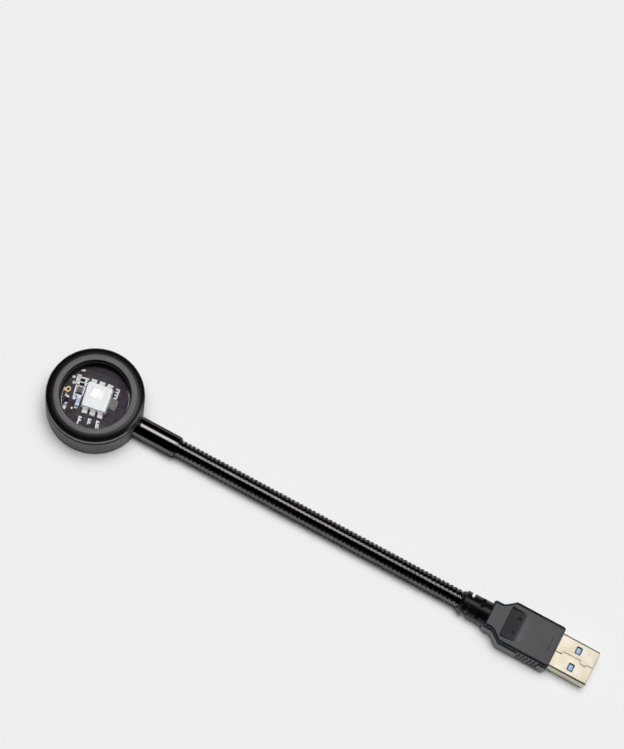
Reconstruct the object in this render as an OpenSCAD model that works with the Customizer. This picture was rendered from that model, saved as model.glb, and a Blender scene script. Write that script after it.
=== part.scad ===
// Gooseneck projection lamp with a USB plug.
// The lamp lies along X, head at -X and plug at +X, on the plane Z = 0.
// Every module that draws a piece of the head works from the head's centre,
// and every module of the plug works from the rear end of the grip.

/* [Head] */
// Outside diameter of the lamp head
head_d = 31.5; // [31:0.5:36]
// Thickness of the rear cover's plate
cover_t = 1.3; // [1:0.1:1.6]
// Height of the housing's side wall
housing_h = 9.7; // [9.6:0.1:14]
// Height of the front bezel above the housing
bezel_h = 2.9; // [2.6:0.1:4]
// Wall thickness of the housing
head_wall = 1.6; // [1.2:0.1:1.8]
// Width of the flat rim between the retainer and the bezel's rounded shoulder
bezel_rim = 0.4; // [0.2:0.05:0.6]
// Drop of the bezel's rounded shoulder
shoulder_drop = 1; // [0.5:0.1:1.4]
// Width of the chamfers along the seams
seam = 0.2; // [0.1:0.05:0.3]

/* [Lens] */
// Thickness of the lens flange
lens_flange_t = 1; // [0.8:0.1:1.2]
// Thickness of the lens in the middle
lens_t = 7.1; // [6.5:0.1:7.3]
// Radius of the lens dome
lens_r = 12.2; // [11.8:0.1:12.6]
// Width of the flat rim round the dome
lens_rim = 1.15; // [1:0.05:1.3]
// Height of the lens' flat face above the board's upper side
lens_gap = 3.3; // [2.9:0.1:3.6]
// Thickness of the shelf that carries the lens
shelf_t = 1; // [0.8:0.1:1.2]
// How far the shelf reaches under the lens
shelf_w = 1.5; // [1:0.1:2]
// Thickness of the gasket on the lens flange
gasket_t = 0.5; // [0.3:0.1:0.6]
// Width of the gasket
gasket_w = 0.8; // [0.6:0.1:1]
// Outside diameter of the retainer's face
retainer_d = 26.4; // [26:0.1:26.8]
// Thickness of the retainer's face
retainer_face_t = 1; // [0.8:0.1:1.2]
// Wall of the retainer's skirt
retainer_skirt = 1.2; // [1:0.1:1.3]
// Diameter of the opening in the retainer
opening_d = 22.8; // [22.4:0.1:23]
// Step of the retainer's bore below the opening
opening_step = 0.4; // [0.2:0.1:0.5]

/* [Circuit board] */
// Diameter of the board
pcb_d = 26.6; // [26:0.1:27]
// Thickness of the board
pcb_t = 1; // [0.8:0.1:1.2]
// Height of the board above the rear cover
pcb_gap = 2.6; // [2.6:0.1:3]
// Side of the LED package
led_w = 5.4; // [4.6:0.1:5.6]
// Height of the LED package
led_h = 1.6; // [1.2:0.1:1.8]
// Turn of the LED and its parts on the board
led_turn = 11; // [-20:1:20]
// Distance of the LED's middle from the head's axis
led_shift = 1.3; // [0:0.1:1.6]
// Diameter of each of the lead's two cores
core_d = 0.9; // [0.8:0.05:1]
// Shank diameter of the board screws
screw_d = 1.6; // [1.2:0.1:1.8]
// Distance of the board screws from the head's axis
screw_r = 11.9; // [11.7:0.1:12]

/* [Mode button] */
// Diameter of the button
button_d = 6; // [5:0.1:7]
// Depth of the button's face inside the rear cover
button_recess = 0.25; // [0.2:0.05:0.4]
// Travel of the button
button_travel = 0.3; // [0.2:0.05:0.35]
// Radial clearance of the button in its hole
button_gap = 0.1; // [0.05:0.05:0.2]
// Side of the switch body
switch_w = 4.2; // [4:0.1:5]
// Height of the switch body
switch_h = 1.5; // [1.4:0.05:1.55]

/* [Neck] */
// Diameter over the ribs of the gooseneck
neck_d = 6; // [5.8:0.1:6.2]
// Depth of the grooves between the ribs
rib_depth = 0.4; // [0.3:0.05:0.45]
// Distance from rib to rib
rib_pitch = 1.5; // [1.4:0.05:1.8]
// Width of the groove between two ribs
rib_gap = 0.6; // [0.58:0.02:0.7]
// Number of ribs on one length of gooseneck
ribs = 4; // [4:1:5]
// Number of lengths in the gooseneck
links = 17; // [15:1:17]
// Diameter of the bore
neck_bore = 3.2; // [2.8:0.1:3.3]
// Radius of the ball that joins two lengths
ball_r = 2.2; // [2.1:0.05:2.25]
// Clearance of the ball in its socket
ball_gap = 0.06; // [0.04:0.01:0.1]
// Diameter of the lead inside
lead_d = 2.2; // [1.8:0.1:2.4]
// Diameter of the smooth sleeve
ferrule_d = 7.2; // [6.8:0.1:7.6]
// Length of the sleeve outside the head
ferrule_l = 14.5; // [12:0.1:20]
// Diameter of the sleeve's spigot inside the head
spigot_d = 4.6; // [4.4:0.1:4.8]
// Depth to which the gooseneck sits in the sleeve
seat_l = 10; // [6:0.5:11]

/* [Plug] */
// Length of the strain relief outside the grip
relief_l = 9.7; // [9:0.1:12]
// Diameter of the strain relief at the gooseneck
relief_d1 = 7.8; // [7.4:0.1:8.2]
// Diameter of the strain relief at the grip
relief_d2 = 8.2; // [7.4:0.1:8.6]
// Length of the grip
grip_l = 24; // [22:0.1:28]
// Width of the grip
grip_w = 15.4; // [14.6:0.1:17]
// Width of the grip's rear end
grip_rear_w = 10; // [9.8:0.1:11]
// Thickness of the grip
grip_h = 8.2; // [8.2:0.1:9]
// Length of the grip's narrow rear part
grip_rear_l = 2.6; // [2:0.1:4]
// Length over which the grip widens
grip_flare_l = 4.1; // [3:0.1:5]
// Depth of the groove under the grip's faces
groove_d = 0.6; // [0.4:0.1:0.8]
// Width of the groove under the grip's faces
groove_w = 0.5; // [0.4:0.1:0.6]
// Thickness of the grip's faces above the groove
face_t = 0.8; // [0.6:0.1:0.9]
// Inset of the grip's faces from its sides
face_inset = 0.5; // [0.4:0.1:0.7]
// Number of grip ribs on each side
grip_ribs = 5; // [3:1:6]
// Distance from grip rib to grip rib
grip_pitch = 1.3; // [1:0.05:1.4]
// Width of the groove between two grip ribs
grip_groove = 0.8; // [0.5:0.05:0.9]
// Distance from the grip's full width to its first side groove
grip_ribs_x = 7.2; // [6:0.1:8]
// Width of the USB shell
shell_w = 12; // [11.9:0.05:12.1]
// Thickness of the USB shell
shell_h = 4.5; // [4.4:0.05:4.6]
// Length of the USB shell outside the grip
shell_l = 13; // [11.8:0.1:14]
// Length of the USB shell inside the grip
shell_in = 6; // [5:0.1:7]
// Wall thickness of the USB shell
shell_t = 0.3; // [0.25:0.05:0.4]

/* [Hidden] */
$fn = 96;
slip = 0.05;                       // radial clearance of pieces that push together
eps = 0.01;                        // overrun of a cut past the face that it opens
nudge = 0.3;                       // play of a part that only lies in its pocket

axis_z = grip_h / 2;
head_r = head_d / 2;
head_in_r = head_r - head_wall;
housing_z = cover_t + housing_h;
face_z = housing_z + bezel_h;
boss_w = ferrule_d;
shoulder_w = head_r - retainer_d / 2 - slip - bezel_rim;

link_l = ribs * rib_pitch;
neck_l = links * link_l;
total_l = head_d + ferrule_l + neck_l + relief_l + grip_l + shell_l;
head_x = head_r - total_l / 2;
neck_x = head_x + head_r + ferrule_l;
relief_x = neck_x + neck_l;
grip_x = relief_x + relief_l;

// Board and the parts on it
pcb_z = cover_t + pcb_gap;
pcb_top = pcb_z + pcb_t;
post_d = screw_d + 1.8;
notch_x = screw_r - 1.3;
wire_slot_l = 1.1;                 // slot from the board's notch, through which the cores dive
wire_slot_w = 4.4;
wire_z = pcb_z - 0.9;              // height of the cores under the board

// Lens and the rings that hold it
lens_z = pcb_top + lens_gap;
shelf_z = lens_z - shelf_t;
flange_top = lens_z + lens_flange_t;
dome_z = lens_z + lens_t - lens_r;
dome_foot_r = sqrt(lens_r * lens_r - (flange_top - dome_z) * (flange_top - dome_z));
lens_d = 2 * (dome_foot_r + lens_rim);
gasket_top = flange_top + gasket_t;
gasket_r = lens_d / 2 - slip;
bore_r = opening_d / 2 - opening_step;
skirt_r = bore_r + retainer_skirt;
lens_pocket_r = lens_d / 2 + slip;

// Button, switch and plunger, from the table upwards
button_flange_z = cover_t + slip;
button_flange_t = 0.5;
button_flange_d = button_d + 2;
plunger_d = 1.9;
plunger_in = 0.35;
switch_z = pcb_z - switch_h;
plunger_z = switch_z - button_travel - 0.2;
dish_r = button_d * 5 / 3;         // sphere that dishes the button's face
dish_depth = 0.2;

// Neck hardware
rib_r = neck_d / 2;
valley_r = rib_r - rib_depth;
crown_w = (rib_pitch - rib_gap) * 0.55;
plain_r = valley_r + rib_depth / 4;
socket_r = ball_r + ball_gap;
sleeve_end_x = head_r - 0.7;       // where the sleeve stands in the housing's spot face
spigot_end_x = notch_x + 0.4;
set_screw_d = 1.6;
set_screw_x = (lens_pocket_r + head_in_r) / 2;
set_screw_l = 2.6;

// Grip, measured from its rear end
plate_z = grip_h / 2 - face_t;
groove_z = plate_z - groove_w;
flare_x = grip_rear_l + grip_flare_l;
shell_x = grip_l - shell_in;
mould_x = 2.8;
mould_h = shell_h + 0.9;
mould_w = shell_w + 0.8;
mould_flare_x = flare_x + 0.6;
crimp_l = 3;
crimp_d = 2 * plain_r + 1;
mould_rear_w = crimp_d + 1.2;
tail_in = mould_x + crimp_l;       // how far the gooseneck reaches into the grip
chamber_x = tail_in + 1;
anchor_l = 1.4;                    // waist of the strain relief inside the grip, then its flange
anchor_waist_d = 2 * plain_r + 2 * slip + 1;
anchor_d = anchor_waist_d + 0.8;
slot_x = 2.65;                     // slots in the strain relief, from its free end
slot_w = 0.9;
slot_half = 62;                    // half of the angle that a slot spans
slot_pitch = 3.7;
tongue_t = 1.9;
tongue_end = 1;                    // how far the tongue stays behind the shell's mouth
block_l = 9;
contact_w = 1;
contact_t = 0.2;
contact_pitch = [-3.5, -1, 1, 3.5];
contact_tail = 3;
contact_z = axis_z + shell_h / 2 - shell_t - tongue_t;

// Solder pads on the board, counted from the head's centre
pad_xy = [[-6.3, 0.4], [-7.45, -0.15]];
pad_d = 1.15;
pad_hole = 0.5;
pad_t = 0.1;
core_y = core_d / 2 + 0.1;         // distance of a core from the lead's axis

head_nodes = ["rear_cover", "head_housing", "front_bezel", "lens_retainer", "lens", "lens_gasket",
    "pcb", "pcb_screws", "led_package", "led_window", "led_terminals", "driver_chip", "resistors",
    "capacitor", "solder_pads", "tact_switch", "switch_plunger", "mode_button",
    "head_wire_red", "head_wire_black", "ferrule", "ferrule_set_screw"];
plug_nodes = ["lead", "strain_relief", "plug_overmold", "inner_mould", "neck_crimp", "usb_shell",
    "usb_tongue", "usb_contacts", "plug_wire_red", "plug_wire_black"];
function link_name(i) = str("neck_link_", i < 10 ? "0" : "", i);

// ---------------------------------------------------------------- helpers

// A cylinder along X from x0 to x1
module rod_x(x0, x1, d) {
    translate([x0, 0, 0]) rotate([0, 90, 0]) cylinder(d = d, h = x1 - x0);
}

// A block centred on Y, from x0 to x1 and z0 to z1
module block(x0, x1, w, z0, z1) {
    translate([x0, -w / 2, z0]) cube([x1 - x0, w, z1 - z0]);
}

// A ring between two radii and two heights
module ring(r0, r1, z0, z1) {
    difference() {
        translate([0, 0, z0]) cylinder(r = r1, h = z1 - z0);
        translate([0, 0, z0 - eps]) cylinder(r = r0, h = z1 - z0 + 2 * eps);
    }
}

function unit(v) = v / norm(v);

// A wire through a list of points, with a ring of eight corners at each point.
// None of its runs may lie along Y, which is where the rings' frames come from.
module wire(points, d) {
    sides = 8;
    last = len(points) - 1;
    corners = [for (i = [0:last]) let (
        back = i == 0 ? points[1] - points[0] : points[i] - points[i - 1],
        ahead = i == last ? back : points[i + 1] - points[i],
        along = unit(unit(back) + unit(ahead)),
        a = unit(cross(along, [0, 1, 0])),
        b = cross(along, a))
        for (k = [0:sides - 1]) points[i] + d / 2 * (a * cos(360 * k / sides) + b * sin(360 * k / sides))];
    walls = [for (i = [0:last - 1]) for (k = [0:sides - 1]) let (
        p = i * sides + k, q = i * sides + (k + 1) % sides)
        for (face = [[p, q, p + sides], [q, q + sides, p + sides]]) face];
    ends = [[for (k = [sides - 1:-1:0]) k], [for (k = [0:sides - 1]) last * sides + k]];
    polyhedron(corners, concat(walls, ends));
}

// The three places of the board screws, clear of the notch at the neck
module at_screws() {
    for (a = [60, 180, 300]) rotate(a) translate([screw_r, 0, 0]) children();
}

// The LED's own frame: turned, and shifted across the lamp
module at_led() {
    translate([-led_shift * sin(led_turn), led_shift, pcb_top]) rotate(led_turn) children();
}

// ---------------------------------------------------------------- lamp head

// The sleeve's path through the housing and the cover
module sleeve_cut() {
    translate([0, 0, axis_z]) {
        rod_x(sleeve_end_x, head_r + 1, ferrule_d + 2 * slip);
        rod_x(spigot_end_x - 1, head_r, spigot_d + 2 * slip);
    }
}

module rear_cover() {
    color([0.13, 0.12, 0.13]) difference() {
        union() {
            rotate_extrude() polygon([[0, 0], [head_r - 0.5, 0], [head_r, 0.5],
                [head_r, cover_t - seam], [head_r - seam, cover_t], [0, cover_t]]);
            ring(head_in_r - 1.1, head_in_r - slip, cover_t - eps, cover_t + 1.4);
            ring(button_flange_d / 2 + 0.2, button_flange_d / 2 + 1, cover_t - eps, cover_t + 0.9);
        }
        translate([0, 0, -eps]) cylinder(d = button_d + 2 * button_gap, h = cover_t + 2 * eps);
        block(notch_x - nudge, head_in_r + 1, boss_w + 2 * nudge, cover_t, cover_t + 3);
        sleeve_cut();
    }
}

module head_housing() {
    color([0.2, 0.19, 0.21]) difference() {
        union() {
            rotate_extrude() polygon([[head_in_r, cover_t], [head_r - seam, cover_t],
                [head_r, cover_t + seam], [head_r, housing_z - seam], [head_r - seam, housing_z],
                [head_in_r, housing_z], [head_in_r, gasket_top], [lens_pocket_r, gasket_top],
                [lens_pocket_r, lens_z], [lens_pocket_r - shelf_w, lens_z],
                [lens_pocket_r - shelf_w, shelf_z], [head_in_r, shelf_z]]);
            at_screws() translate([0, 0, pcb_top]) cylinder(d = post_d, h = shelf_z - pcb_top + eps);
            intersection() {
                block(notch_x + 0.2, head_r, boss_w, cover_t + slip, shelf_z + eps);
                cylinder(r = head_in_r + eps, h = housing_z);
            }
        }
        at_screws() translate([0, 0, pcb_top - eps])
            cylinder(d = screw_d, h = shelf_z - pcb_top + 0.5, $fn = 32);
        translate([set_screw_x, 0, axis_z]) cylinder(d = set_screw_d, h = housing_h, $fn = 32);
        sleeve_cut();
    }
}

module front_bezel() {
    shoulder = [for (a = [0:10:90]) [head_r - shoulder_w + shoulder_w * cos(a),
        face_z - shoulder_drop + shoulder_drop * sin(a)]];
    inner = retainer_d / 2 + slip;
    color([0.05, 0.05, 0.06]) rotate_extrude() polygon(concat(
        [[skirt_r + slip, gasket_top + slip], [head_in_r - slip, gasket_top + slip],
         [head_in_r - slip, housing_z], [head_r - seam, housing_z], [head_r, housing_z + seam]],
        shoulder,
        [[inner, face_z], [inner, face_z - retainer_face_t], [skirt_r + slip, face_z - retainer_face_t]]));
}

module lens_retainer() {
    step_z = face_z - 1.3;
    color([0.36, 0.35, 0.37]) rotate_extrude() polygon([
        [bore_r, gasket_top], [skirt_r, gasket_top], [skirt_r, face_z - retainer_face_t],
        [retainer_d / 2, face_z - retainer_face_t], [retainer_d / 2, face_z],
        [opening_d / 2, face_z], [opening_d / 2, step_z], [bore_r, step_z - opening_step]]);
}

module lens() {
    color([0.82, 0.87, 0.92, 0.45]) {
        translate([0, 0, lens_z]) cylinder(d = lens_d, h = lens_flange_t);
        intersection() {
            translate([0, 0, dome_z]) sphere(r = lens_r, $fn = 120);
            translate([0, 0, lens_z]) cylinder(r = dome_foot_r, h = lens_t);
        }
    }
}

module lens_gasket() {
    color([0.1, 0.1, 0.1]) ring(gasket_r - gasket_w, gasket_r, flange_top, gasket_top);
}

module pcb() {
    color([0.12, 0.1, 0.12]) difference() {
        translate([0, 0, pcb_z]) cylinder(d = pcb_d, h = pcb_t);
        block(notch_x, pcb_d, boss_w + 2 * nudge, pcb_z - eps, pcb_top + eps);
        block(notch_x - wire_slot_l, notch_x + 1, wire_slot_w, pcb_z - eps, pcb_top + eps);
        at_screws() translate([0, 0, pcb_z - eps]) cylinder(d = screw_d + 0.2, h = pcb_t + 1, $fn = 32);
        for (p = pad_xy) translate([p[0], p[1], pcb_z - eps])
            cylinder(d = pad_hole, h = pcb_t + 1, $fn = 24);
    }
}

module pcb_screws() {
    head_t = 1;
    color([0.6, 0.6, 0.62]) at_screws() difference() {
        union() {
            translate([0, 0, pcb_z - head_t]) cylinder(d = screw_d + 1.4, h = head_t, $fn = 40);
            translate([0, 0, pcb_z - eps])
                cylinder(d = screw_d, h = shelf_z - pcb_z + 0.4, $fn = 32);
        }
        for (a = [0, 90]) rotate(a) translate([-0.9, -0.15, pcb_z - head_t - eps]) cube([1.8, 0.3, 0.5]);
    }
}

module led_package() {
    color([0.93, 0.93, 0.9]) at_led() difference() {
        translate([-led_w / 2, -led_w / 2, 0]) cube([led_w, led_w, led_h]);
        translate([0, 0, led_h - 0.7]) cylinder(d = led_w - 0.9, h = 1);
    }
}

module led_window() {
    color([0.96, 0.95, 0.85, 0.6]) at_led()
        translate([0, 0, led_h - 0.7]) cylinder(d = led_w - 0.9, h = 0.65);
}

module led_terminals() {
    color([0.85, 0.85, 0.83]) at_led() for (side = [0, 180], i = [-1:1])
        rotate(side) translate([i * 1.65 - 0.5, led_w / 2, 0]) union() {
            cube([1, 0.7, 0.2]);
            cube([1, 0.2, 0.9]);
        }
}

// Small parts stand to the left of the LED, at these distances from its edge
module driver_chip() {
    body = [1, 1.2, 0.55];
    at_led() translate([-led_w / 2 - 1.1, 0.6, 0]) {
        color([0.3, 0.3, 0.32]) translate([-body[0] / 2, -body[1] / 2, 0.1]) cube(body);
        color([0.85, 0.85, 0.83]) for (side = [0, 180], i = [-1:1])
            rotate(side) translate([body[0] / 2, i * 0.4 - 0.1, 0]) cube([0.25, 0.2, 0.25]);
    }
}

// A surface-mount part: its body between two tinned ends, lying along X
module chip_part(x, y, turn, body, cap, c) {
    at_led() translate([x, y, 0]) rotate(turn) {
        color(c) translate([-body[0] / 2, -body[1] / 2, 0]) cube(body);
        color([0.88, 0.88, 0.87]) for (s = [-1, 1])
            translate([s * (body[0] + cap) / 2 - cap / 2, -body[1] / 2, 0]) cube([cap, body[1], body[2]]);
    }
}

module resistors() {
    edge = -led_w / 2;
    for (p = [[edge - 1.2, 2.65, 0], [edge - 1.1, 1.85, 0], [edge - 3.1, -2, 90]])
        chip_part(p[0], p[1], p[2], [1, 0.5, 0.35], 0.3, [0.08, 0.08, 0.09]);
}

module capacitor() {
    chip_part(-led_w / 2 - 0.9, -1.9, 90, [1.2, 0.8, 0.8], 0.4, [0.72, 0.78, 0.9]);
}

module solder_pads() {
    color([0.85, 0.65, 0.3]) for (p = pad_xy) translate([p[0], p[1], 0]) {
        ring(pad_hole / 2, pad_d / 2, pcb_top, pcb_top + pad_t);
        ring(pad_hole / 2, pad_d / 2, pcb_z - pad_t, pcb_z);
    }
}

module tact_switch() {
    color([0.15, 0.15, 0.16]) difference() {
        union() {
            block(-switch_w / 2, switch_w / 2, switch_w, switch_z, pcb_z);
            for (s = [-1, 1], t = [-1, 1])
                translate([s * (switch_w / 2 + 0.4) - 0.5, t * 1.2 - 0.3, pcb_z - 0.15]) cube([1, 0.6, 0.15]);
        }
        translate([0, 0, switch_z - eps])
            cylinder(d = plunger_d + 2 * slip, h = plunger_in + button_travel + 0.3, $fn = 40);
    }
}

module switch_plunger() {
    color([0.75, 0.72, 0.65]) translate([0, 0, plunger_z])
        cylinder(d = plunger_d, h = switch_z - plunger_z + plunger_in, $fn = 40);
}

module mode_button() {
    color([0.1, 0.1, 0.11]) difference() {
        union() {
            translate([0, 0, button_recess]) cylinder(d = button_d, h = button_flange_z - button_recess + eps);
            translate([0, 0, button_flange_z]) cylinder(d = button_flange_d, h = button_flange_t);
            translate([0, 0, button_flange_z]) cylinder(d = 2.6, h = plunger_z - button_flange_z);
        }
        translate([0, 0, button_recess + dish_depth - dish_r]) sphere(r = dish_r);
    }
}

// From the end of the lead, down through the board's slot and round the switch, to a pad
module head_wire(side, pad, c) {
    round_y = button_flange_d / 2 + core_d / 2;
    color(c) wire([[spigot_end_x, side * core_y, axis_z], [notch_x, side * core_y, axis_z],
        [notch_x - wire_slot_l, side * 3 * core_y, wire_z], [button_flange_d / 4, side * round_y, wire_z],
        [-button_flange_d / 2, side * round_y, wire_z],
        [pad[0], pad[1], wire_z], [pad[0], pad[1], pcb_z - pad_t]], core_d);
}

module head_wire_red() {
    head_wire(1, pad_xy[0], [0.75, 0.1, 0.1]);
}

module head_wire_black() {
    head_wire(-1, pad_xy[1], [0.1, 0.1, 0.1]);
}

// ---------------------------------------------------------------- neck

// Smooth sleeve with its spigot in the housing's boss
module ferrule() {
    end_x = head_r + ferrule_l;
    color([0.04, 0.04, 0.05]) translate([0, 0, axis_z]) difference() {
        union() {
            rod_x(sleeve_end_x, end_x - 0.3, ferrule_d);
            translate([end_x - 0.3, 0, 0]) rotate([0, 90, 0])
                cylinder(d1 = ferrule_d, d2 = ferrule_d - 0.6, h = 0.3);
            rod_x(spigot_end_x, sleeve_end_x + eps, spigot_d);
        }
        rod_x(end_x - seat_l, end_x + 1, 2 * plain_r + 2 * slip);
        rod_x(spigot_end_x - 1, end_x, neck_bore);
    }
}

// Threadless grub screw that presses on the sleeve's spigot
module ferrule_set_screw() {
    z0 = axis_z + spigot_d / 2;
    color([0.3, 0.3, 0.32]) translate([set_screw_x, 0, z0]) difference() {
        cylinder(d = set_screw_d - 2 * slip, h = set_screw_l, $fn = 32);
        translate([0, 0, set_screw_l - 0.9]) cylinder(d = 1, h = 1, $fn = 6);
    }
}

// Half of the outline of one rib, from its left foot to its right foot
function rib(x) = let (foot = (rib_pitch - rib_gap) / 2, top = crown_w / 2)
    [[x - foot, valley_r], [x - foot, rib_r - 0.25], [x - top, rib_r],
     [x + top, rib_r], [x + foot, rib_r - 0.25], [x + foot, valley_r]];

function arc(x, r, a0, a1, n) = [for (i = [0:n]) let (a = a0 + (a1 - a0) * i / n)
    [x + r * cos(a), r * sin(a)]];

// One length of gooseneck, from x = 0 to link_l. The ball at its head end turns in
// the socket at the plug end of the length before it. The first and the last
// lengths run on as plain tube into the sleeve and the strain relief.
module neck_link(i) {
    first = i == 1;
    last = i == links;
    cut = rib_gap / 2;
    ball_back = 130;               // angle at which the ball's nose is cut off
    ball_foot = acos(cut / ball_r);
    socket_mouth = 180 - acos(cut / socket_r);
    socket_back = 180 - asin(neck_bore / 2 / socket_r);
    bore_r0 = neck_bore / 2;
    crowns = [for (k = [0:ribs - 1]) for (p = rib((k + 0.5) * rib_pitch)) p];
    nose = first
        ? [[-seat_l, bore_r0], [-seat_l, plain_r], [0, plain_r], [0, valley_r]]
        : concat([[ball_r * cos(ball_back), bore_r0]], arc(0, ball_r, ball_back, ball_foot, 8),
            [[cut, valley_r]]);
    tail = last
        ? [[link_l, valley_r], [link_l, plain_r], [link_l + relief_l + tail_in, plain_r],
           [link_l + relief_l + tail_in, bore_r0]]
        : concat([[link_l - cut, valley_r]], arc(link_l, socket_r, socket_mouth, socket_back, 8));
    color([0.1, 0.1, 0.11]) translate([neck_x + (i - 1) * link_l, 0, axis_z])
        rotate([0, 90, 0]) rotate_extrude($fn = 48) polygon([for (p = concat(nose, crowns, tail)) [p[1], p[0]]]);
}

// Two-core lead from the head's boss to the chamber in the grip
module lead() {
    color([0.08, 0.08, 0.08]) translate([0, 0, axis_z])
        rod_x(head_x + spigot_end_x, grip_x + chamber_x, lead_d);
}

// ---------------------------------------------------------------- plug

// Two opposite slots through the strain relief's wall, which let it bend. A bridge stays
// between them on each side.
module relief_slots(x, turn) {
    reach = relief_d2;
    rotate([turn, 0, 0]) for (s = [0, 1]) mirror([0, s, 0])
        translate([x - relief_l, 0, 0]) rotate([0, 90, 0]) linear_extrude(slot_w)
            polygon([[0, 0], [-reach * tan(slot_half), reach], [reach * tan(slot_half), reach]]);
}

module strain_relief() {
    lip = 0.9;
    color([0.06, 0.06, 0.07]) translate([0, 0, axis_z]) difference() {
        union() {
            translate([-relief_l, 0, 0]) rotate([0, 90, 0]) cylinder(d1 = relief_d1 - 1.2, d2 = relief_d1, h = lip);
            translate([lip - relief_l, 0, 0]) rotate([0, 90, 0])
                cylinder(d1 = relief_d1, d2 = relief_d2, h = relief_l - lip);
            rod_x(-eps, anchor_l, anchor_waist_d);
            rod_x(anchor_l - eps, anchor_l + 1, anchor_d);
        }
        rod_x(-relief_l - 1, anchor_l + 2, 2 * plain_r + 2 * slip);
        relief_slots(slot_x, 0);
        relief_slots(slot_x + slot_pitch, 90);
    }
}

// Half width of the grip at a distance from its rear end
function grip_half(x) = let (t = min(1, max(0, (x - grip_rear_l) / grip_flare_l)))
    grip_rear_w / 2 + (grip_w - grip_rear_w) / 2 * t * t * (2 - t);

// Plan of the grip, drawn in by an inset on its sides
module grip_plan(inset) {
    steps = [for (i = [0:8]) grip_rear_l + grip_flare_l * i / 8];
    side = concat([[inset / 2, grip_half(0) - inset]], [for (x = steps) [x, grip_half(x) - inset]],
        [[grip_l, grip_w / 2 - inset]]);
    far = [for (i = [len(side) - 1:-1:0]) [side[i][0], -side[i][1]]];
    polygon(concat(side, far));
}

module plug_overmold() {
    color([0.3, 0.31, 0.33]) translate([0, 0, axis_z]) difference() {
        union() {
            translate([0, 0, -groove_z]) linear_extrude(2 * groove_z) grip_plan(0);
            translate([0, 0, -plate_z - eps]) linear_extrude(2 * plate_z + 2 * eps) grip_plan(groove_d + face_inset);
            for (s = [0, 1]) mirror([0, 0, s]) translate([0, 0, plate_z]) linear_extrude(face_t) grip_plan(face_inset);
        }
        // grooves between the grip ribs
        for (s = [-1, 1], i = [0:grip_ribs])
            translate([flare_x + grip_ribs_x + i * grip_pitch, s * grip_w / 2, 0])
                cube([grip_groove, 1, 2 * groove_z + 1], center = true);
        // thumb recess and two plain dimples in the upper face
        translate([flare_x - 0.8, 0, grip_h / 2]) rotate([0, -4, 0]) translate([0, -5, -0.55]) cube([7.4, 10, 2]);
        for (s = [-1, 1]) translate([flare_x + 2.7, s * 2.45, grip_h / 2 - 0.9]) cylinder(d = 1, h = 1, $fn = 32);
        // line across the front of the upper face
        translate([grip_l - 2.5, -3, grip_h / 2 - 0.2]) cube([0.25, 6, 1]);
        // pocket of the inner block, the shell, the strain relief and the gooseneck
        inner_block(slip);
        translate([shell_x, -shell_w / 2 - slip, -shell_h / 2 - slip])
            cube([shell_l + shell_in, shell_w + 2 * slip, shell_h + 2 * slip]);
        rod_x(-1, anchor_l + slip, anchor_waist_d + 2 * slip);
        rod_x(anchor_l - slip, mould_x + eps, anchor_d + 2 * slip);
        rod_x(mould_x - slip, mould_x + crimp_l + slip, crimp_d + 2 * slip);
    }
}

// Outer shape of the inner block, from the crimp to the shell
module inner_block(grow) {
    translate([mould_x - grow, -mould_rear_w / 2 - grow, -mould_h / 2 - grow])
        cube([mould_flare_x - mould_x + 2 * grow, mould_rear_w + 2 * grow, mould_h + 2 * grow]);
    translate([mould_flare_x - grow, -mould_w / 2 - grow, -mould_h / 2 - grow])
        cube([grip_l - 3 - mould_flare_x + 2 * grow, mould_w + 2 * grow, mould_h + 2 * grow]);
}

module inner_mould() {
    color([0.85, 0.84, 0.8]) translate([0, 0, axis_z]) difference() {
        inner_block(0);
        rod_x(mould_x - 1, chamber_x + eps, 2 * plain_r + 2 * slip);
        rod_x(mould_x - 1, mould_x + crimp_l, crimp_d + 2 * slip);
        translate([chamber_x, -4.6, -1.6]) cube([shell_x - chamber_x + eps, 9.2, 3.2]);
        translate([shell_x - slip, -shell_w / 2 - slip, -shell_h / 2 - slip])
            cube([shell_l + shell_in, shell_w + 2 * slip, shell_h + 2 * slip]);
    }
}

module neck_crimp() {
    color([0.72, 0.6, 0.35]) translate([0, 0, axis_z]) difference() {
        rod_x(mould_x, mould_x + crimp_l, crimp_d);
        rod_x(mould_x - 1, mould_x + crimp_l + 1, 2 * plain_r);
    }
}

module usb_shell() {
    window = [2, 2.6];
    length = shell_l + shell_in;
    tip = shell_x + length;
    color([0.93, 0.9, 0.78]) translate([0, 0, axis_z]) difference() {
        block(shell_x, tip, shell_w, -shell_h / 2, shell_h / 2);
        block(shell_x - 1, tip + 1, shell_w - 2 * shell_t, -shell_h / 2 + shell_t, shell_h / 2 - shell_t);
        for (s = [-1, 1]) translate([tip - 6.5, s * 3, 0]) cube([window[0], window[1], shell_h + 1], center = true);
        // folded seam along the middle of the upper side
        translate([grip_l, -0.06, shell_h / 2 - 0.1]) cube([shell_l + 1, 0.12, 1]);
    }
}

module usb_tongue() {
    tip = grip_l + shell_l;
    inner_w = shell_w - 2 * shell_t - 2 * slip;
    roof = axis_z + shell_h / 2 - shell_t - slip;
    color([0.62, 0.76, 0.92]) difference() {
        union() {
            block(shell_x + 0.5, tip - block_l, inner_w, axis_z - shell_h / 2 + shell_t + slip, roof);
            block(shell_x + 0.5, tip - tongue_end, inner_w, contact_z, roof);
        }
        contact_strips();
    }
}

// The four strips, the outer two longer at the mouth
module contact_strips() {
    tip = grip_l + shell_l - tongue_end;
    for (y = contact_pitch)
        translate([shell_x - contact_tail, y - contact_w / 2, contact_z - contact_t])
            cube([tip - (abs(y) > 2 ? 0.6 : 1.6) - shell_x + contact_tail, contact_w, contact_t]);
}

module usb_contacts() {
    color([0.88, 0.72, 0.35]) contact_strips();
}

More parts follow.
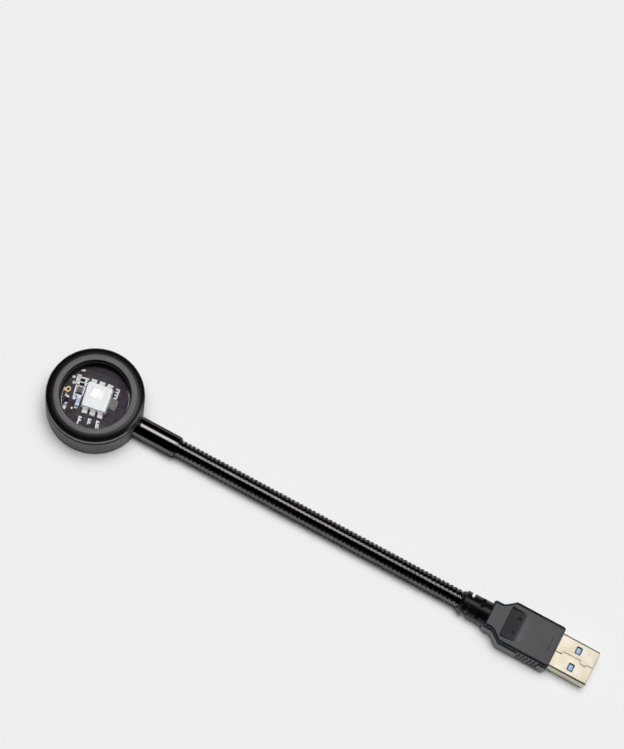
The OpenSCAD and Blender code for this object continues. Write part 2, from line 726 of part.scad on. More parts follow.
// From the lead's end in the chamber to a contact's tail
module plug_wire(side, c) {
    reach = contact_pitch[3];
    top = contact_z + core_d / 2;
    color(c) wire([[chamber_x, side * core_y, axis_z], [chamber_x + 1, side * core_y, axis_z],
        [shell_x - contact_tail, side * reach, top], [shell_x - 1, side * reach, top]], core_d);
}

module plug_wire_red() {
    plug_wire(1, [0.75, 0.1, 0.1]);
}

module plug_wire_black() {
    plug_wire(-1, [0.1, 0.1, 0.1]);
}

// ---------------------------------------------------------------- assembly

module in_head() {
    translate([head_x, 0, 0]) children();
}

module in_plug() {
    translate([grip_x, 0, 0]) children();
}

in_head() rear_cover();
in_head() head_housing();
in_head() front_bezel();
in_head() lens_retainer();
in_head() lens();
in_head() lens_gasket();
in_head() pcb();
in_head() pcb_screws();
in_head() led_package();
in_head() led_window();
in_head() led_terminals();
in_head() driver_chip();
in_head() resistors();
in_head() capacitor();
in_head() solder_pads();
in_head() tact_switch();
in_head() switch_plunger();
in_head() mode_button();
in_head() head_wire_red();
in_head() head_wire_black();
in_head() ferrule();
in_head() ferrule_set_screw();
for (i = [1:links]) neck_link(i);
lead();
in_plug() strain_relief();
in_plug() plug_overmold();
in_plug() inner_mould();
in_plug() neck_crimp();
in_plug() usb_shell();
in_plug() usb_tongue();
in_plug() usb_contacts();
in_plug() plug_wire_red();
in_plug() plug_wire_black();
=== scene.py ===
"""Looks of a gooseneck projection lamp with a USB plug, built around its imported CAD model.

The lamp lies along X on the plane Z = 0, with its head at -X and its plug at +X.
Sizes are written in millimetres; meshes are in metres, in the frame of the CAD.
"""

import logging
import math
from dataclasses import dataclass, field
from enum import Enum
from typing import Callable, Sequence

import bmesh
import bpy
import numpy as np
from mathutils import Matrix, Vector


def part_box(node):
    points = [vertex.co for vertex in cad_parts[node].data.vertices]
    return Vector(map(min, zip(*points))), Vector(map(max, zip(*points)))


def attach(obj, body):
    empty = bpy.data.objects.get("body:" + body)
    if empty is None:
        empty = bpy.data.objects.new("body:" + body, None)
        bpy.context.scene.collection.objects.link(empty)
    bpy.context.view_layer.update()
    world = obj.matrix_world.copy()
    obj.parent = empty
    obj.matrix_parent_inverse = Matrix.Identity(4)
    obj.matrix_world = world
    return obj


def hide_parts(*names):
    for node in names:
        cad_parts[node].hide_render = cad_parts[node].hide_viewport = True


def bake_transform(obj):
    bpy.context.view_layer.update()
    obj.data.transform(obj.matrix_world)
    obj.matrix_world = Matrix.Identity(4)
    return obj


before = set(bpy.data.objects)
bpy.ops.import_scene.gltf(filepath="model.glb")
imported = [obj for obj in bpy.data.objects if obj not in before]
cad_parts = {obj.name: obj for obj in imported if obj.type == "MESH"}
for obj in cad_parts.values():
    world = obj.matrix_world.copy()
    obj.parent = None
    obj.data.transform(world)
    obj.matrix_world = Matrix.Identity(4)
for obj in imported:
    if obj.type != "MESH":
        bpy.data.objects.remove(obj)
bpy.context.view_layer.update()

MM = 0.001
LOG = logging.getLogger("lamp")
Point2 = tuple[float, float]
Point3 = tuple[float, float, float]
Bar = tuple[float, float, float, float]
Face = tuple[int, ...]
Skin = tuple[list[Point3], list[Face]]
Place = Callable[[float, float, float], Point3]
Piece = bpy.types.Object
Tree = bpy.types.NodeTree
Socket = bpy.types.NodeSocket


# ------------------------------------------------------------------ colour and nodes


def linear(hex_colour: str) -> tuple[float, float, float, float]:
    """Turns an sRGB hex colour into the linear one that a shader takes.

    Args:
        hex_colour: six hex digits, with or without a leading hash.

    Returns:
        Red, green, blue and an alpha of 1.
    """
    digits = hex_colour.lstrip("#")
    channels = [int(digits[i:i + 2], 16) / 255 for i in (0, 2, 4)]
    red, green, blue = [c / 12.92 if c <= 0.04045 else ((c + 0.055) / 1.055) ** 2.4
                        for c in channels]
    return red, green, blue, 1.0


def add_node(tree: Tree, kind: str, inputs: dict[str | int, object] | None = None,
             **settings: object) -> bpy.types.Node:
    """Adds a node, sets it up, and links or fills its inputs.

    Args:
        tree: the node tree to add to.
        kind: Blender's name of the node, without its ShaderNode prefix.
        inputs: a socket to link from, or a value to set, for each named or numbered input.
        settings: the node's own properties.

    Returns:
        The new node.
    """
    node = tree.nodes.new("ShaderNode" + kind)
    for name, value in settings.items():
        setattr(node, name, value)
    for key, value in (inputs or {}).items():
        if isinstance(value, Socket):
            tree.links.new(value, node.inputs[key])
        else:
            node.inputs[key].default_value = value
    return node


# ------------------------------------------------------------------ finishes


class Surface(Enum):
    """How a surface was made, which gives its fine relief."""

    SPARK_GRAIN = "spark-eroded mould"
    POLISHED = "polished mould"
    ROLLED = "rolled sheet"
    TURNED = "turned on a lathe"
    SANDED = "fine-sanded"


@dataclass(frozen=True)
class Finish:
    """One real material with the surface that its making leaves.

    Each pattern's size is the real one in millimetres. A relief finer than a pixel is drawn
    at the grain's own size all the same, and shows as a slight spread of the highlights.
    A piece may carry a "hollow" mark, which adds hollow_roughness where it is 1. edge_tint
    colours the reflection at a glancing angle.
    """

    name: str
    base: str
    shade: str
    roughness: float
    surface: Surface
    roughness_spread: float = 0.06
    patch_mm: float = 6.0
    grain_mm: float = 0.12
    relief_mm: float = 0.004
    metallic: float = 0.0
    ior: float = 1.5
    coat: float = 0.0
    coat_roughness: float = 0.1
    wear: str = ""
    wear_from: float = 0.56
    subsurface: float = 0.0
    scatter_mm: float = 0.5
    hollow_roughness: float = 0.0
    edge_tint: str = "ffffff"

    def material(self) -> bpy.types.Material:
        """Builds the material once, and returns it."""
        made = bpy.data.materials.get(self.name)
        if made is None:
            made = bpy.data.materials.new(self.name)
            made.use_nodes = True
            made.node_tree.nodes.clear()
            self.build(made.node_tree)
        return made

    def patches(self, tree: Tree, place: Socket, detail: float, low: float = 0.35) -> Socket:
        """Varies the colour in patches, from the base to the shade.

        Args:
            tree: the node tree to add to.
            place: the socket that says where on the piece.
            detail: how finely the patches are broken up.
            low: the noise below which the base stands alone.

        Returns:
            The colour socket.
        """
        noise = add_node(tree, "TexNoise", {
            "Vector": place, "Scale": 1 / (self.patch_mm * MM), "Detail": detail})
        mixed = add_node(tree, "ValToRGB", {"Fac": noise.outputs["Fac"]})
        stops = ((low, self.base), (0.7, self.shade))
        for element, (position, colour) in zip(mixed.color_ramp.elements, stops):
            element.position = position
            element.color = linear(colour)
        return mixed.outputs["Color"]

    def build(self, tree: Tree) -> None:
        """Fills the node tree: colour that varies in patches, relief, and worn edges.

        Args:
            tree: the material's empty node tree.
        """
        place = add_node(tree, "TexCoord").outputs["Object"]
        colour = self.worn(tree, self.patches(tree, place, 4.0))
        relief = self.relief(tree, place)
        rough = add_node(tree, "MapRange", {
            "Value": relief, "To Min": max(self.roughness - self.roughness_spread, 0.02),
            "To Max": self.roughness + self.roughness_spread}).outputs["Result"]
        if self.hollow_roughness:
            hollow = add_node(tree, "Attribute", attribute_name="hollow").outputs["Fac"]
            rough = add_node(tree, "Math", {0: hollow, 1: self.hollow_roughness, 2: rough},
                             operation="MULTIPLY_ADD").outputs["Value"]
        bump = add_node(tree, "Bump", {
            "Height": relief, "Distance": self.relief_mm * MM, "Strength": 1.0}).outputs["Normal"]
        shader = add_node(tree, "BsdfPrincipled", {
            "Base Color": colour, "Roughness": rough, "Normal": bump, "Metallic": self.metallic,
            "Coat Weight": self.coat, "Coat Roughness": self.coat_roughness,
            "Subsurface Weight": self.subsurface, "Subsurface Radius": (1.0, 1.0, 1.0),
            "Subsurface Scale": self.scatter_mm * MM, "Specular Tint": linear(self.edge_tint)})
        if not self.metallic:
            shader.inputs["IOR"].default_value = self.ior
        add_node(tree, "OutputMaterial", {"Surface": shader.outputs["BSDF"]})

    def worn(self, tree: Tree, colour: Socket) -> Socket:
        """Lightens the edges that hands and tables rub, where this finish wears.

        Args:
            tree: the node tree to add to.
            colour: the colour of the unworn surface.

        Returns:
            The colour socket.
        """
        if not self.wear:
            return colour
        edge = add_node(tree, "NewGeometry").outputs["Pointiness"]
        share = add_node(tree, "MapRange", {
            "Value": edge, "From Min": self.wear_from - 0.05, "From Max": self.wear_from + 0.05})
        return add_node(tree, "Mix", {
            "Factor": share.outputs["Result"], "A": colour, "B": linear(self.wear)},
            data_type="RGBA").outputs["Result"]

    def relief(self, tree: Tree, place: Socket) -> Socket:
        """Draws the height of the fine relief, from 0 to 1.

        Args:
            tree: the node tree to add to.
            place: the socket that says where on the piece.

        Returns:
            The height socket.
        """
        stretch = {Surface.ROLLED: (0.04, 1.0, 1.0), Surface.TURNED: (1.0, 1.0, 0.05)}
        moved = add_node(tree, "Mapping", {
            "Vector": place, "Scale": stretch.get(self.surface, (1.0, 1.0, 1.0))})
        scale = 1 / (self.grain_mm * MM)
        if self.surface is Surface.SPARK_GRAIN:
            cells = add_node(tree, "TexVoronoi", {
                "Vector": moved.outputs["Vector"], "Scale": scale}, feature="SMOOTH_F1")
            return cells.outputs["Distance"]
        noise = add_node(tree, "TexNoise", {
            "Vector": moved.outputs["Vector"], "Scale": scale, "Detail": 3.0})
        return noise.outputs["Fac"]


@dataclass(frozen=True)
class Glass(Finish):
    """Clear optical glass, polished. Light passes and bends in it."""

    tint: str = "fafafa"

    def build(self, tree: Tree) -> None:
        """Fills the node tree: a glass that lets soft light through where shadows are cast.

        Args:
            tree: the material's empty node tree.
        """
        place = add_node(tree, "TexCoord").outputs["Object"]
        bump = add_node(tree, "Bump", {
            "Height": self.relief(tree, place), "Distance": self.relief_mm * MM, "Strength": 1.0}).outputs["Normal"]
        shader = add_node(tree, "BsdfPrincipled", {
            "Base Color": self.patches(tree, place, 2.0, 0.3), "Roughness": self.roughness,
            "Normal": bump, "IOR": self.ior, "Transmission Weight": 1.0})
        clear = add_node(tree, "BsdfTransparent", {"Color": linear(self.tint)})
        shadow = add_node(tree, "LightPath").outputs["Is Shadow Ray"]
        mixed = add_node(tree, "MixShader", {
            0: shadow, 1: shader.outputs["BSDF"], 2: clear.outputs["BSDF"]})
        add_node(tree, "OutputMaterial", {"Surface": mixed.outputs["Shader"]})


@dataclass(frozen=True)
class SolderMask(Finish):
    """Glass-fibre laminate under black solder mask, whose copper tracks stand up as low ridges."""

    track: str = "3f343c"
    track_pitch_mm: float = 1.27
    weave_mm: float = 0.45

    def build(self, tree: Tree) -> None:
        """Fills the node tree: mask, tracks under it, and the cloth's weave in its gloss.

        Args:
            tree: the material's empty node tree.
        """
        place = add_node(tree, "TexCoord").outputs["Object"]
        turned = add_node(tree, "Mapping", {
            "Vector": place, "Rotation": (0.0, 0.0, math.radians(-11))}).outputs["Vector"]
        cells = add_node(tree, "TexBrick", {
            "Vector": turned, "Scale": 1 / (self.track_pitch_mm * 4 * MM), "Mortar Size": 0.03,
            "Mortar Smooth": 0.4, "Color1": linear("000000"), "Color2": linear("000000"),
            "Mortar": linear("ffffff")})
        tracks = add_node(tree, "RGBToBW", {"Color": cells.outputs["Color"]}).outputs["Val"]
        weave = add_node(tree, "TexWave", {
            "Vector": turned, "Scale": 1 / (self.weave_mm * MM) / 20,
            "Distortion": 0.6}).outputs["Fac"]
        colour = add_node(tree, "Mix", {
            "Factor": tracks, "A": self.patches(tree, place, 3.0), "B": linear(self.track)},
            data_type="RGBA").outputs["Result"]
        height = add_node(tree, "Math", {
            0: weave, 1: 0.15, 2: tracks}, operation="MULTIPLY_ADD").outputs["Value"]
        bump = add_node(tree, "Bump", {
            "Height": height, "Distance": self.relief_mm * MM, "Strength": 1.0}).outputs["Normal"]
        rough = add_node(tree, "MapRange", {
            "Value": weave, "To Min": self.roughness - self.roughness_spread,
            "To Max": self.roughness + self.roughness_spread}).outputs["Result"]
        shader = add_node(tree, "BsdfPrincipled", {
            "Base Color": colour, "Roughness": rough, "Normal": bump, "IOR": self.ior})
        add_node(tree, "OutputMaterial", {"Surface": shader.outputs["BSDF"]})


# Glossy black ABS from a polished mould: deep black with a soft, wide highlight.
BEZEL_ABS = Finish("abs_gloss_black", "0a090a", "0e0d0f", 0.24, Surface.POLISHED,
                   roughness_spread=0.03, grain_mm=0.5, relief_mm=0.0015)
# The same ABS with a matt ring: it scatters the lamp above it into an even grey.
RETAINER_ABS = Finish("abs_satin_grey_black", "2a292d", "323035", 0.34, Surface.SPARK_GRAIN,
                      roughness_spread=0.03, grain_mm=0.12, relief_mm=0.002)
# Near-black for the bore's upright walls and its low faces: painted shade, standing in for the shade that falls
# inside the bore.
BORE_PAINTED_SHADE = Finish("abs_black_painted_bore_shade", "050505", "080708", 0.72, Surface.SPARK_GRAIN,
                    grain_mm=0.12, relief_mm=0.004, ior=1.3)
# Body of the case: satin black ABS that looks charcoal where it meets the light.
HOUSING_ABS = Finish("abs_satin_black", "1d1b1f", "262328", 0.45, Surface.SPARK_GRAIN,
                     grain_mm=0.14, relief_mm=0.004, wear="454248")
# Optical crown glass, pressed and polished.
LENS_GLASS = Glass("crown_glass_polished", "fbfdff", "f4f9ff", 0.0, Surface.POLISHED,
                   grain_mm=2.5, relief_mm=0.0002, ior=1.58)
# Silicone rubber of the gasket and the button: matt, slightly dusty.
SILICONE = Finish("silicone_moulded_black", "161616", "222122", 0.62, Surface.SPARK_GRAIN,
                  grain_mm=0.1, relief_mm=0.004, ior=1.41)
# Printed circuit board: dark purple-black mask with a satin gloss.
BOARD = SolderMask("fr4_black_solder_mask", "2b242c", "392f36", 0.36, Surface.SANDED,
                   roughness_spread=0.05, patch_mm=4.0, relief_mm=0.012, ior=1.55)
# Screen-printed epoxy ink: flat white with a slightly uneven film.
LEGEND_INK = Finish("epoxy_ink_screen_printed", "e6e5e2", "f6f5f3", 0.55, Surface.SANDED,
                    patch_mm=0.6, grain_mm=0.08, relief_mm=0.006)
# Body of the LED: white heat-proof nylon with a fine mould grain.
LED_NYLON = Finish("ppa_nylon_white", "ececea", "f4f4f2", 0.4, Surface.SPARK_GRAIN,
                   patch_mm=1.5, grain_mm=0.06, relief_mm=0.002, subsurface=0.7, scatter_mm=0.9)
# Milky silicone potting over the dies: soft and bright.
LED_POTTING = Finish("silicone_potting_milky", "ecece9", "f2f2ef", 0.35, Surface.POLISHED,
                     patch_mm=1.0, grain_mm=0.3, relief_mm=0.003, ior=1.41, subsurface=0.5)
# Solder and tinned copper: bright, dimpled where it froze.
SOLDER = Finish("tin_solder_reflowed", "ece6e4", "faf7f5", 0.5, Surface.SANDED,
                patch_mm=0.5, grain_mm=0.15, relief_mm=0.01, metallic=0.1)
# Gold flash on nickel: warm and satin.
GOLD_FLASH = Finish("gold_flash_on_copper", "f0cf8c", "ffe8b4", 0.42, Surface.SANDED,
                    patch_mm=0.6, grain_mm=0.1, relief_mm=0.006, metallic=0.3)
# Ceramic and epoxy of the small parts.
CHIP_EPOXY = Finish("epoxy_mould_compound", "58585c", "6a6a6e", 0.5, Surface.SPARK_GRAIN,
                    patch_mm=0.8, grain_mm=0.06, relief_mm=0.003)
RESISTOR_GLAZE = Finish("resistor_glaze_black", "0c0c0e", "151517", 0.3, Surface.POLISHED,
                        patch_mm=0.8, grain_mm=0.1, relief_mm=0.003)
CAPACITOR_CERAMIC = Finish("ceramic_fired_blue_grey", "a9b4d4", "c3cdea", 0.45, Surface.SANDED,
                           patch_mm=0.5, grain_mm=0.06, relief_mm=0.004)
# Black nickel plated on steel wire: a dark mirror, with a trace of the wire's drawing.
NECK_NICKEL = Finish("steel_black_nickel", "605f5f", "6c6a6a", 0.1, Surface.POLISHED,
                     roughness_spread=0.03, grain_mm=0.8, relief_mm=0.003, metallic=1.0,
                     edge_tint="7a7a7a")
# Black nickel on turned brass: the same dark mirror, softer at its turning marks.
SLEEVE_NICKEL = Finish("brass_black_nickel", "5f5e5e", "696767", 0.14, Surface.POLISHED,
                       roughness_spread=0.02, grain_mm=1.2, relief_mm=0.002, metallic=1.0,
                       edge_tint="7a7a7a")
# Flexible PVC of the strain relief: near black and satin.
RELIEF_PVC = Finish("pvc_soft_black", "060506", "0b0a0c", 0.34, Surface.SPARK_GRAIN,
                    grain_mm=0.2, relief_mm=0.01, ior=1.38)
# Moulded PVC of the grip: slate grey, satin.
GRIP_PVC = Finish("pvc_moulded_slate", "15191f", "1e232a", 0.3, Surface.SPARK_GRAIN, patch_mm=9.0,
                  grain_mm=0.16, relief_mm=0.006, wear="34373d", wear_from=0.57,
                  hollow_roughness=0.3)
# Hard polypropylene block inside the grip.
BLOCK_PP = Finish("polypropylene_natural", "d8d4c8", "e6e3da", 0.45, Surface.POLISHED,
                  subsurface=0.2)
# Nickel-plated steel shell with a champagne cast, rolled before it was folded.
SHELL_NICKEL = Finish("steel_nickel_plated_champagne", "bcb6a2", "cdc8b9", 0.34, Surface.ROLLED,
                      patch_mm=3.5, roughness_spread=0.04, grain_mm=0.35, relief_mm=0.001,
                      metallic=1.0)
# Pale blue PBT of the tongue, and the same where the shell's roof keeps the light off it.
SHADED_PBT = Finish("pbt_moulded_shaded_blue", "2f3b50", "3a4860", 0.5, Surface.SPARK_GRAIN,
                    patch_mm=3.0, grain_mm=0.1, relief_mm=0.003)
TONGUE_PBT = Finish("pbt_moulded_pale_blue", "8fb0de", "a6c3ea", 0.4, Surface.SPARK_GRAIN,
                    patch_mm=3.0, grain_mm=0.1, relief_mm=0.003)
BRASS = Finish("brass_rolled", "b98f45", "d2ab62", 0.3, Surface.ROLLED, metallic=1.0)
SCREW_STEEL = Finish("steel_zinc_plated", "9fa0a2", "b9babb", 0.32, Surface.TURNED, metallic=1.0)
PLUNGER_POM = Finish("acetal_natural", "b8b3a4", "c8c4b8", 0.4, Surface.POLISHED)
WIRE_RED = Finish("pvc_insulation_red", "8d1712", "a8201a", 0.4, Surface.POLISHED)
WIRE_BLACK = Finish("pvc_insulation_black", "121212", "1c1b1b", 0.4, Surface.POLISHED)


# ------------------------------------------------------------------ outlines and meshes


def rounded(corners: Sequence[Point2], radii: Sequence[float], steps: int = 6) -> list[Point2]:
    """Rounds the corners of a closed outline.

    Args:
        corners: the outline's corners in order.
        radii: the radius at each corner; 0 keeps it sharp.
        steps: short edges along each rounded corner.

    Returns:
        The points of the rounded outline.
    """
    out: list[Point2] = []
    count = len(corners)
    for i, radius in enumerate(radii):
        here = np.array(corners[i], float)
        back = np.array(corners[i - 1], float) - here
        ahead = np.array(corners[(i + 1) % count], float) - here
        if radius <= 0:
            out.append(tuple(here))
            continue
        u, v = back / np.linalg.norm(back), ahead / np.linalg.norm(ahead)
        half = math.acos(max(-1.0, min(1.0, float(u @ v)))) / 2
        reach = min(radius / math.tan(half), 0.49 * np.linalg.norm(back),
                    0.49 * np.linalg.norm(ahead))
        for k in range(steps + 1):
            t = k / steps
            start, end = here + u * reach, here + v * reach
            out.append(tuple((1 - t) ** 2 * start + 2 * t * (1 - t) * here + t * t * end))
    return out


def rectangle(half_x: float, half_y: float, radius: float, steps: int) -> list[Point2]:
    """A rectangle about the origin with rounded corners.

    Args:
        half_x: half its width.
        half_y: half its depth.
        radius: the radius of its corners.
        steps: short edges along each corner.

    Returns:
        The outline's points.
    """
    corners = [(-half_x, -half_y), (half_x, -half_y), (half_x, half_y), (-half_x, half_y)]
    return rounded(corners, [radius] * 4, steps)


def new_object(name: str, points: Sequence[Sequence[float]], faces: Sequence[Sequence[int]],
               finish: Finish, sharp_deg: float = 32.0) -> Piece:
    """Makes a piece from points in millimetres.

    Args:
        name: the piece's name.
        points: the vertices, in millimetres.
        faces: the corners of each face.
        finish: what it is made of.
        sharp_deg: edges that turn more than this stay sharp.

    Returns:
        The object, linked to the scene.
    """
    mesh = bpy.data.meshes.new(name)
    mesh.from_pydata([tuple(c * MM for c in p) for p in points], [], faces)
    body = bmesh.new()
    body.from_mesh(mesh)
    bmesh.ops.remove_doubles(body, verts=body.verts, dist=1e-7)
    bmesh.ops.recalc_face_normals(body, faces=body.faces)
    body.to_mesh(mesh)
    body.free()
    mesh.shade_smooth()
    mesh.set_sharp_from_angle(angle=math.radians(sharp_deg))
    mesh.materials.append(finish.material())
    piece = bpy.data.objects.new(name, mesh)
    bpy.context.scene.collection.objects.link(piece)
    return piece


def lathe(outline: Sequence[Point2], segments: int, place: Place
          ) -> Skin:
    """Turns a closed outline of radius and height round an axis.

    Args:
        outline: the closed outline, as radius and height.
        segments: how many steps one turn has.
        place: gives a point from radius, angle and height.

    Returns:
        The points and the faces. Points on the axis fall together and are merged later.
    """
    points = [place(r, 2 * math.pi * k / segments, h) for r, h in outline for k in range(segments)]
    count, faces = len(outline), []
    for i in range(count):
        j = (i + 1) % count
        if outline[i][0] < 1e-9 and outline[j][0] < 1e-9:
            continue
        for k in range(segments):
            n = (k + 1) % segments
            face = [i * segments + k, i * segments + n, j * segments + n, j * segments + k]
            if outline[i][0] < 1e-9:
                face = [i * segments, j * segments + n, j * segments + k]
            elif outline[j][0] < 1e-9:
                face = [i * segments + k, i * segments + n, j * segments]
            faces.append(tuple(face))
    return points, faces


def upright(centre: Vector) -> Place:
    """Places turned points about a vertical axis through a centre, in millimetres."""
    return lambda r, a, z: (centre.x + r * math.cos(a), centre.y + r * math.sin(a), z)


def along_x(height: float) -> Place:
    """Places turned points about an axis along X at that height, in millimetres."""
    return lambda r, a, x: (x, r * math.cos(a), height + r * math.sin(a))


def circle_x(height: float, radius: float, x: float, count: int) -> list[Point3]:
    """A ring of points about an axis along X at that height, in millimetres."""
    return [along_x(height)(radius, 2 * math.pi * k / count, x) for k in range(count)]


def loft(rings: Sequence[Sequence[Point3]]) -> Skin:
    """Joins closed rings of equal count into one closed skin, with a cap at each end.

    Args:
        rings: the rings in order.

    Returns:
        The points and the faces.
    """
    count = len(rings[0])
    points = [p for ring in rings for p in ring]
    faces: list[Face] = []
    for i in range(len(rings) - 1):
        for k in range(count):
            n = (k + 1) % count
            faces.append((i * count + k, i * count + n, (i + 1) * count + n, (i + 1) * count + k))
    faces.append(tuple(range(count)))
    faces.append(tuple(range((len(rings) - 1) * count, len(rings) * count)))
    return points, faces


def brick(size: Point3, at: Point3, edge: float) -> Skin:
    """A block with rounded edges, standing on its lowest face's middle.

    Args:
        size: width, depth and height.
        at: the middle of its lowest face.
        edge: how far the edges are rounded.

    Returns:
        The points and the faces.
    """
    rings = []
    for z, inset in ((0.0, edge * 0.5), (edge, 0.0), (size[2] - edge, 0.0),
                     (size[2] - edge * 0.3, edge * 0.3), (size[2], edge)):
        a, b = size[0] / 2 - inset, size[1] / 2 - inset
        rings.append([(at[0] + x, at[1] + y, at[2] + z) for x, y in rectangle(a, b, edge, 3)])
    return loft(rings)


def merged(parts: Sequence[Skin]
           ) -> Skin:
    """Puts several skins into one, keeping them apart.

    Args:
        parts: points and faces of each skin.

    Returns:
        All points and faces.
    """
    points: list[Point3] = []
    faces: list[Face] = []
    for part_points, part_faces in parts:
        base = len(points)
        points += part_points
        faces += [tuple(i + base for i in face) for face in part_faces]
    return points, faces


def spaced(spans: Sequence[tuple[float, float, float]]) -> list[float]:
    """Lines along a length, from spans that each have a start, an end and a spacing.

    Args:
        spans: start, end and spacing of each stretch, in order.

    Returns:
        The places of the lines.
    """
    lines: list[float] = []
    for start, end, step in spans:
        count = max(1, round((end - start) / step))
        lines += [start + (end - start) * k / count for k in range(count)]
    return lines + [spans[-1][1]]


def smoothstep(low: float, high: float, x: float) -> float:
    """Goes smoothly from 0 at low to 1 at high."""
    t = min(1.0, max(0.0, (x - low) / (high - low)))
    return t * t * (3 - 2 * t)


def box_mm(node: str) -> tuple[Vector, Vector]:
    """A CAD node's lowest and highest corners, in millimetres."""
    low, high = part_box(node)
    return low / MM, high / MM


def settle(piece: Piece, body: str, slot: str, *nodes: str) -> Piece:
    """Puts a piece on its body, and in the place of CAD nodes.

    Args:
        piece: the piece.
        body: the CAD body that it rides on.
        slot: the piece's material slot; not used.
        nodes: the CAD nodes that it stands for.

    Returns:
        The piece.
    """
    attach(piece, body)
    if nodes:
        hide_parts(*nodes)
    LOG.info("piece %s on %s", piece.name, body)
    return piece


def dress(node: str, finish: Finish) -> None:
    """Gives a CAD node its finish.

    Args:
        node: the CAD node's name.
        finish: what it is made of.
    """
    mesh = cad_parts[node].data
    mesh.materials.clear()
    mesh.materials.append(finish.material())


# ------------------------------------------------------------------ lamp head


@dataclass
class LampHead:
    """The round head: case, bezel, lens and the circuit board behind it."""

    segments: int = 192
    wall: float = 1.6
    cover_t: float = 1.3
    housing_top: float = 11.0
    face: float = 13.9
    shoulder_drop: float = 1.4
    shoulder_break_deg: float = 8.0
    seam: float = 0.2
    seam_band: float = 0.9
    seam_depth: float = 0.2
    lens_flat: float = 8.2
    flange_t: float = 1.0
    lens_t: float = 7.1
    lens_r: float = 12.2
    lens_rim: float = 1.15
    gasket_t: float = 0.5
    shelf_t: float = 1.0
    shelf_w: float = 1.5
    retainer_d: float = 26.4
    retainer_face_t: float = 1.0
    skirt: float = 1.2
    opening_d: float = 22.8
    opening_step: float = 0.4
    led_turn_deg: float = 11.0
    led_shift: float = 1.3
    led_w: float = 5.4
    led_h: float = 1.1
    board_top: float = 4.9
    pad_xy: tuple[Point2, ...] = ((-6.3, 0.4), (-7.4, 0.1))
    pad_r: float = 0.56
    pad_hole_r: float = 0.28
    slip: float = 0.05
    step_drop: float = 1.3
    button_r: float = 3.0
    button_stem_r: float = 1.3
    button_flange_t: float = 0.5
    dish_depth: float = 0.22
    well_wall: float = 0.45
    well_depth: float = 0.3
    tab_x: tuple[float, ...] = (-1.65, 0.0, 1.65)
    film: float = 0.03
    # Each printed bar: x and y of its middle, width, depth. These stand left of the LED, with
    # x from its edge: a frame round two resistors, one round the chip, then loose marks.
    left_bars: tuple[Bar, ...] = (
        (-1.15, 3.14, 2.3, 0.26), (-1.15, 2.25, 2.3, 0.22), (-1.1, 1.38, 2.1, 0.22),
        (-2.3, 2.4, 0.34, 1.7), (-2.1, 3.5, 0.9, 0.34),
        (-2.0, 0.55, 0.3, 1.7), (-1.2, -0.4, 1.6, 0.3), (-1.9, -0.75, 0.4, 0.6),
        (-0.3, 0.5, 0.24, 1.5),
        (-1.7, -1.1, 0.6, 0.6), (-1.6, -3.1, 0.36, 0.36),
        (-3.05, 2.97, 0.55, 0.5), (-2.6, 1.8, 0.7, 0.5), (-1.7, 4.75, 0.8, 0.45),
        (-2.75, 4.55, 0.45, 0.4), (-2.4, 5.5, 0.4, 0.3), (-1.2, 5.7, 0.5, 0.3),
        (-3.3, -1.0, 0.7, 0.24), (-3.45, -0.8, 0.2, 0.5), (-2.95, -3.1, 0.5, 0.45),
        (-3.1, -3.8, 0.5, 0.2))
    # Marks below the LED, from a point each. An upright with two arms reads like an F.
    uprights: tuple[Point2, ...] = ((-2.3, -4.6), (-0.35, -4.5), (1.3, -4.35))
    upright_bars: tuple[Bar, ...] = (
        (0.0, 0.0, 0.28, 0.9), (0.28, 0.3, 0.46, 0.24), (0.28, -0.15, 0.4, 0.24))
    feet: tuple[Point2, ...] = ((-0.5, -5.35), (1.25, -5.2), (-2.5, -5.4))
    foot_bars: tuple[Bar, ...] = ((0.0, 0.0, 0.55, 0.28), (0.16, -0.3, 0.28, 0.4))
    # The ladder right of the LED ends with its rail.
    ladder: tuple[Bar, ...] = (
        (3.15, 3.1, 0.66, 0.28), (3.19, 2.5, 0.56, 0.28), (3.23, 1.9, 0.66, 0.28),
        (3.27, 1.3, 0.56, 0.28), (3.5, 2.3, 0.24, 1.9))
    centre: Vector = field(default_factory=Vector)
    radius: float = 0.0

    def __post_init__(self) -> None:
        """Takes the head's middle and radius from the CAD's rear cover."""
        low, high = box_mm("rear_cover")
        self.centre = (low + high) / 2
        self.radius = (high.y - low.y) / 2

    @property
    def dome_z(self) -> float:
        """Height of the dome's centre."""
        return self.lens_flat + self.lens_t - self.lens_r

    @property
    def dome_foot(self) -> float:
        """Radius at which the dome meets the lens' flat rim."""
        rise = self.lens_flat + self.flange_t - self.dome_z
        return math.sqrt(self.lens_r ** 2 - rise ** 2)

    def turned(self, name: str, outline: Sequence[Point2], finish: Finish) -> Piece:
        """Makes a piece turned about the head's axis."""
        return new_object(name, *lathe(outline, self.segments, upright(self.centre)), finish)

    def build(self) -> None:
        """Builds every piece of the head."""
        self.build_case()
        self.build_lens()
        self.build_button()
        self.build_board()
        self.dress_hidden()

    def build_case(self) -> None:
        """The wall, the bezel and the ring that holds the lens."""
        outer, inner = self.radius, self.radius - self.wall
        pocket = self.dome_foot + self.lens_rim + self.slip
        top, ledge = self.lens_flat + self.flange_t + self.gasket_t, self.lens_flat
        band = self.housing_top - self.seam_band
        wall = rounded(
            [(inner, self.cover_t), (outer - 0.05, self.cover_t), (outer, self.cover_t + self.seam),
             (outer, band - 0.1), (outer - self.seam_depth, band),
             (outer - self.seam_depth, self.housing_top),
             (inner, self.housing_top), (inner, top), (pocket, top), (pocket, ledge),
             (pocket - self.shelf_w, ledge), (pocket - self.shelf_w, ledge - self.shelf_t),
             (inner, ledge - self.shelf_t)],
            [0, 0, 0.08, 0.08, 0.03, 0, 0, 0.1, 0.1, 0, 0.1, 0.1, 0.1], 4)
        settle(self.turned("housing_shell", wall, HOUSING_ABS), "head",
               "head_housing", "head_housing")

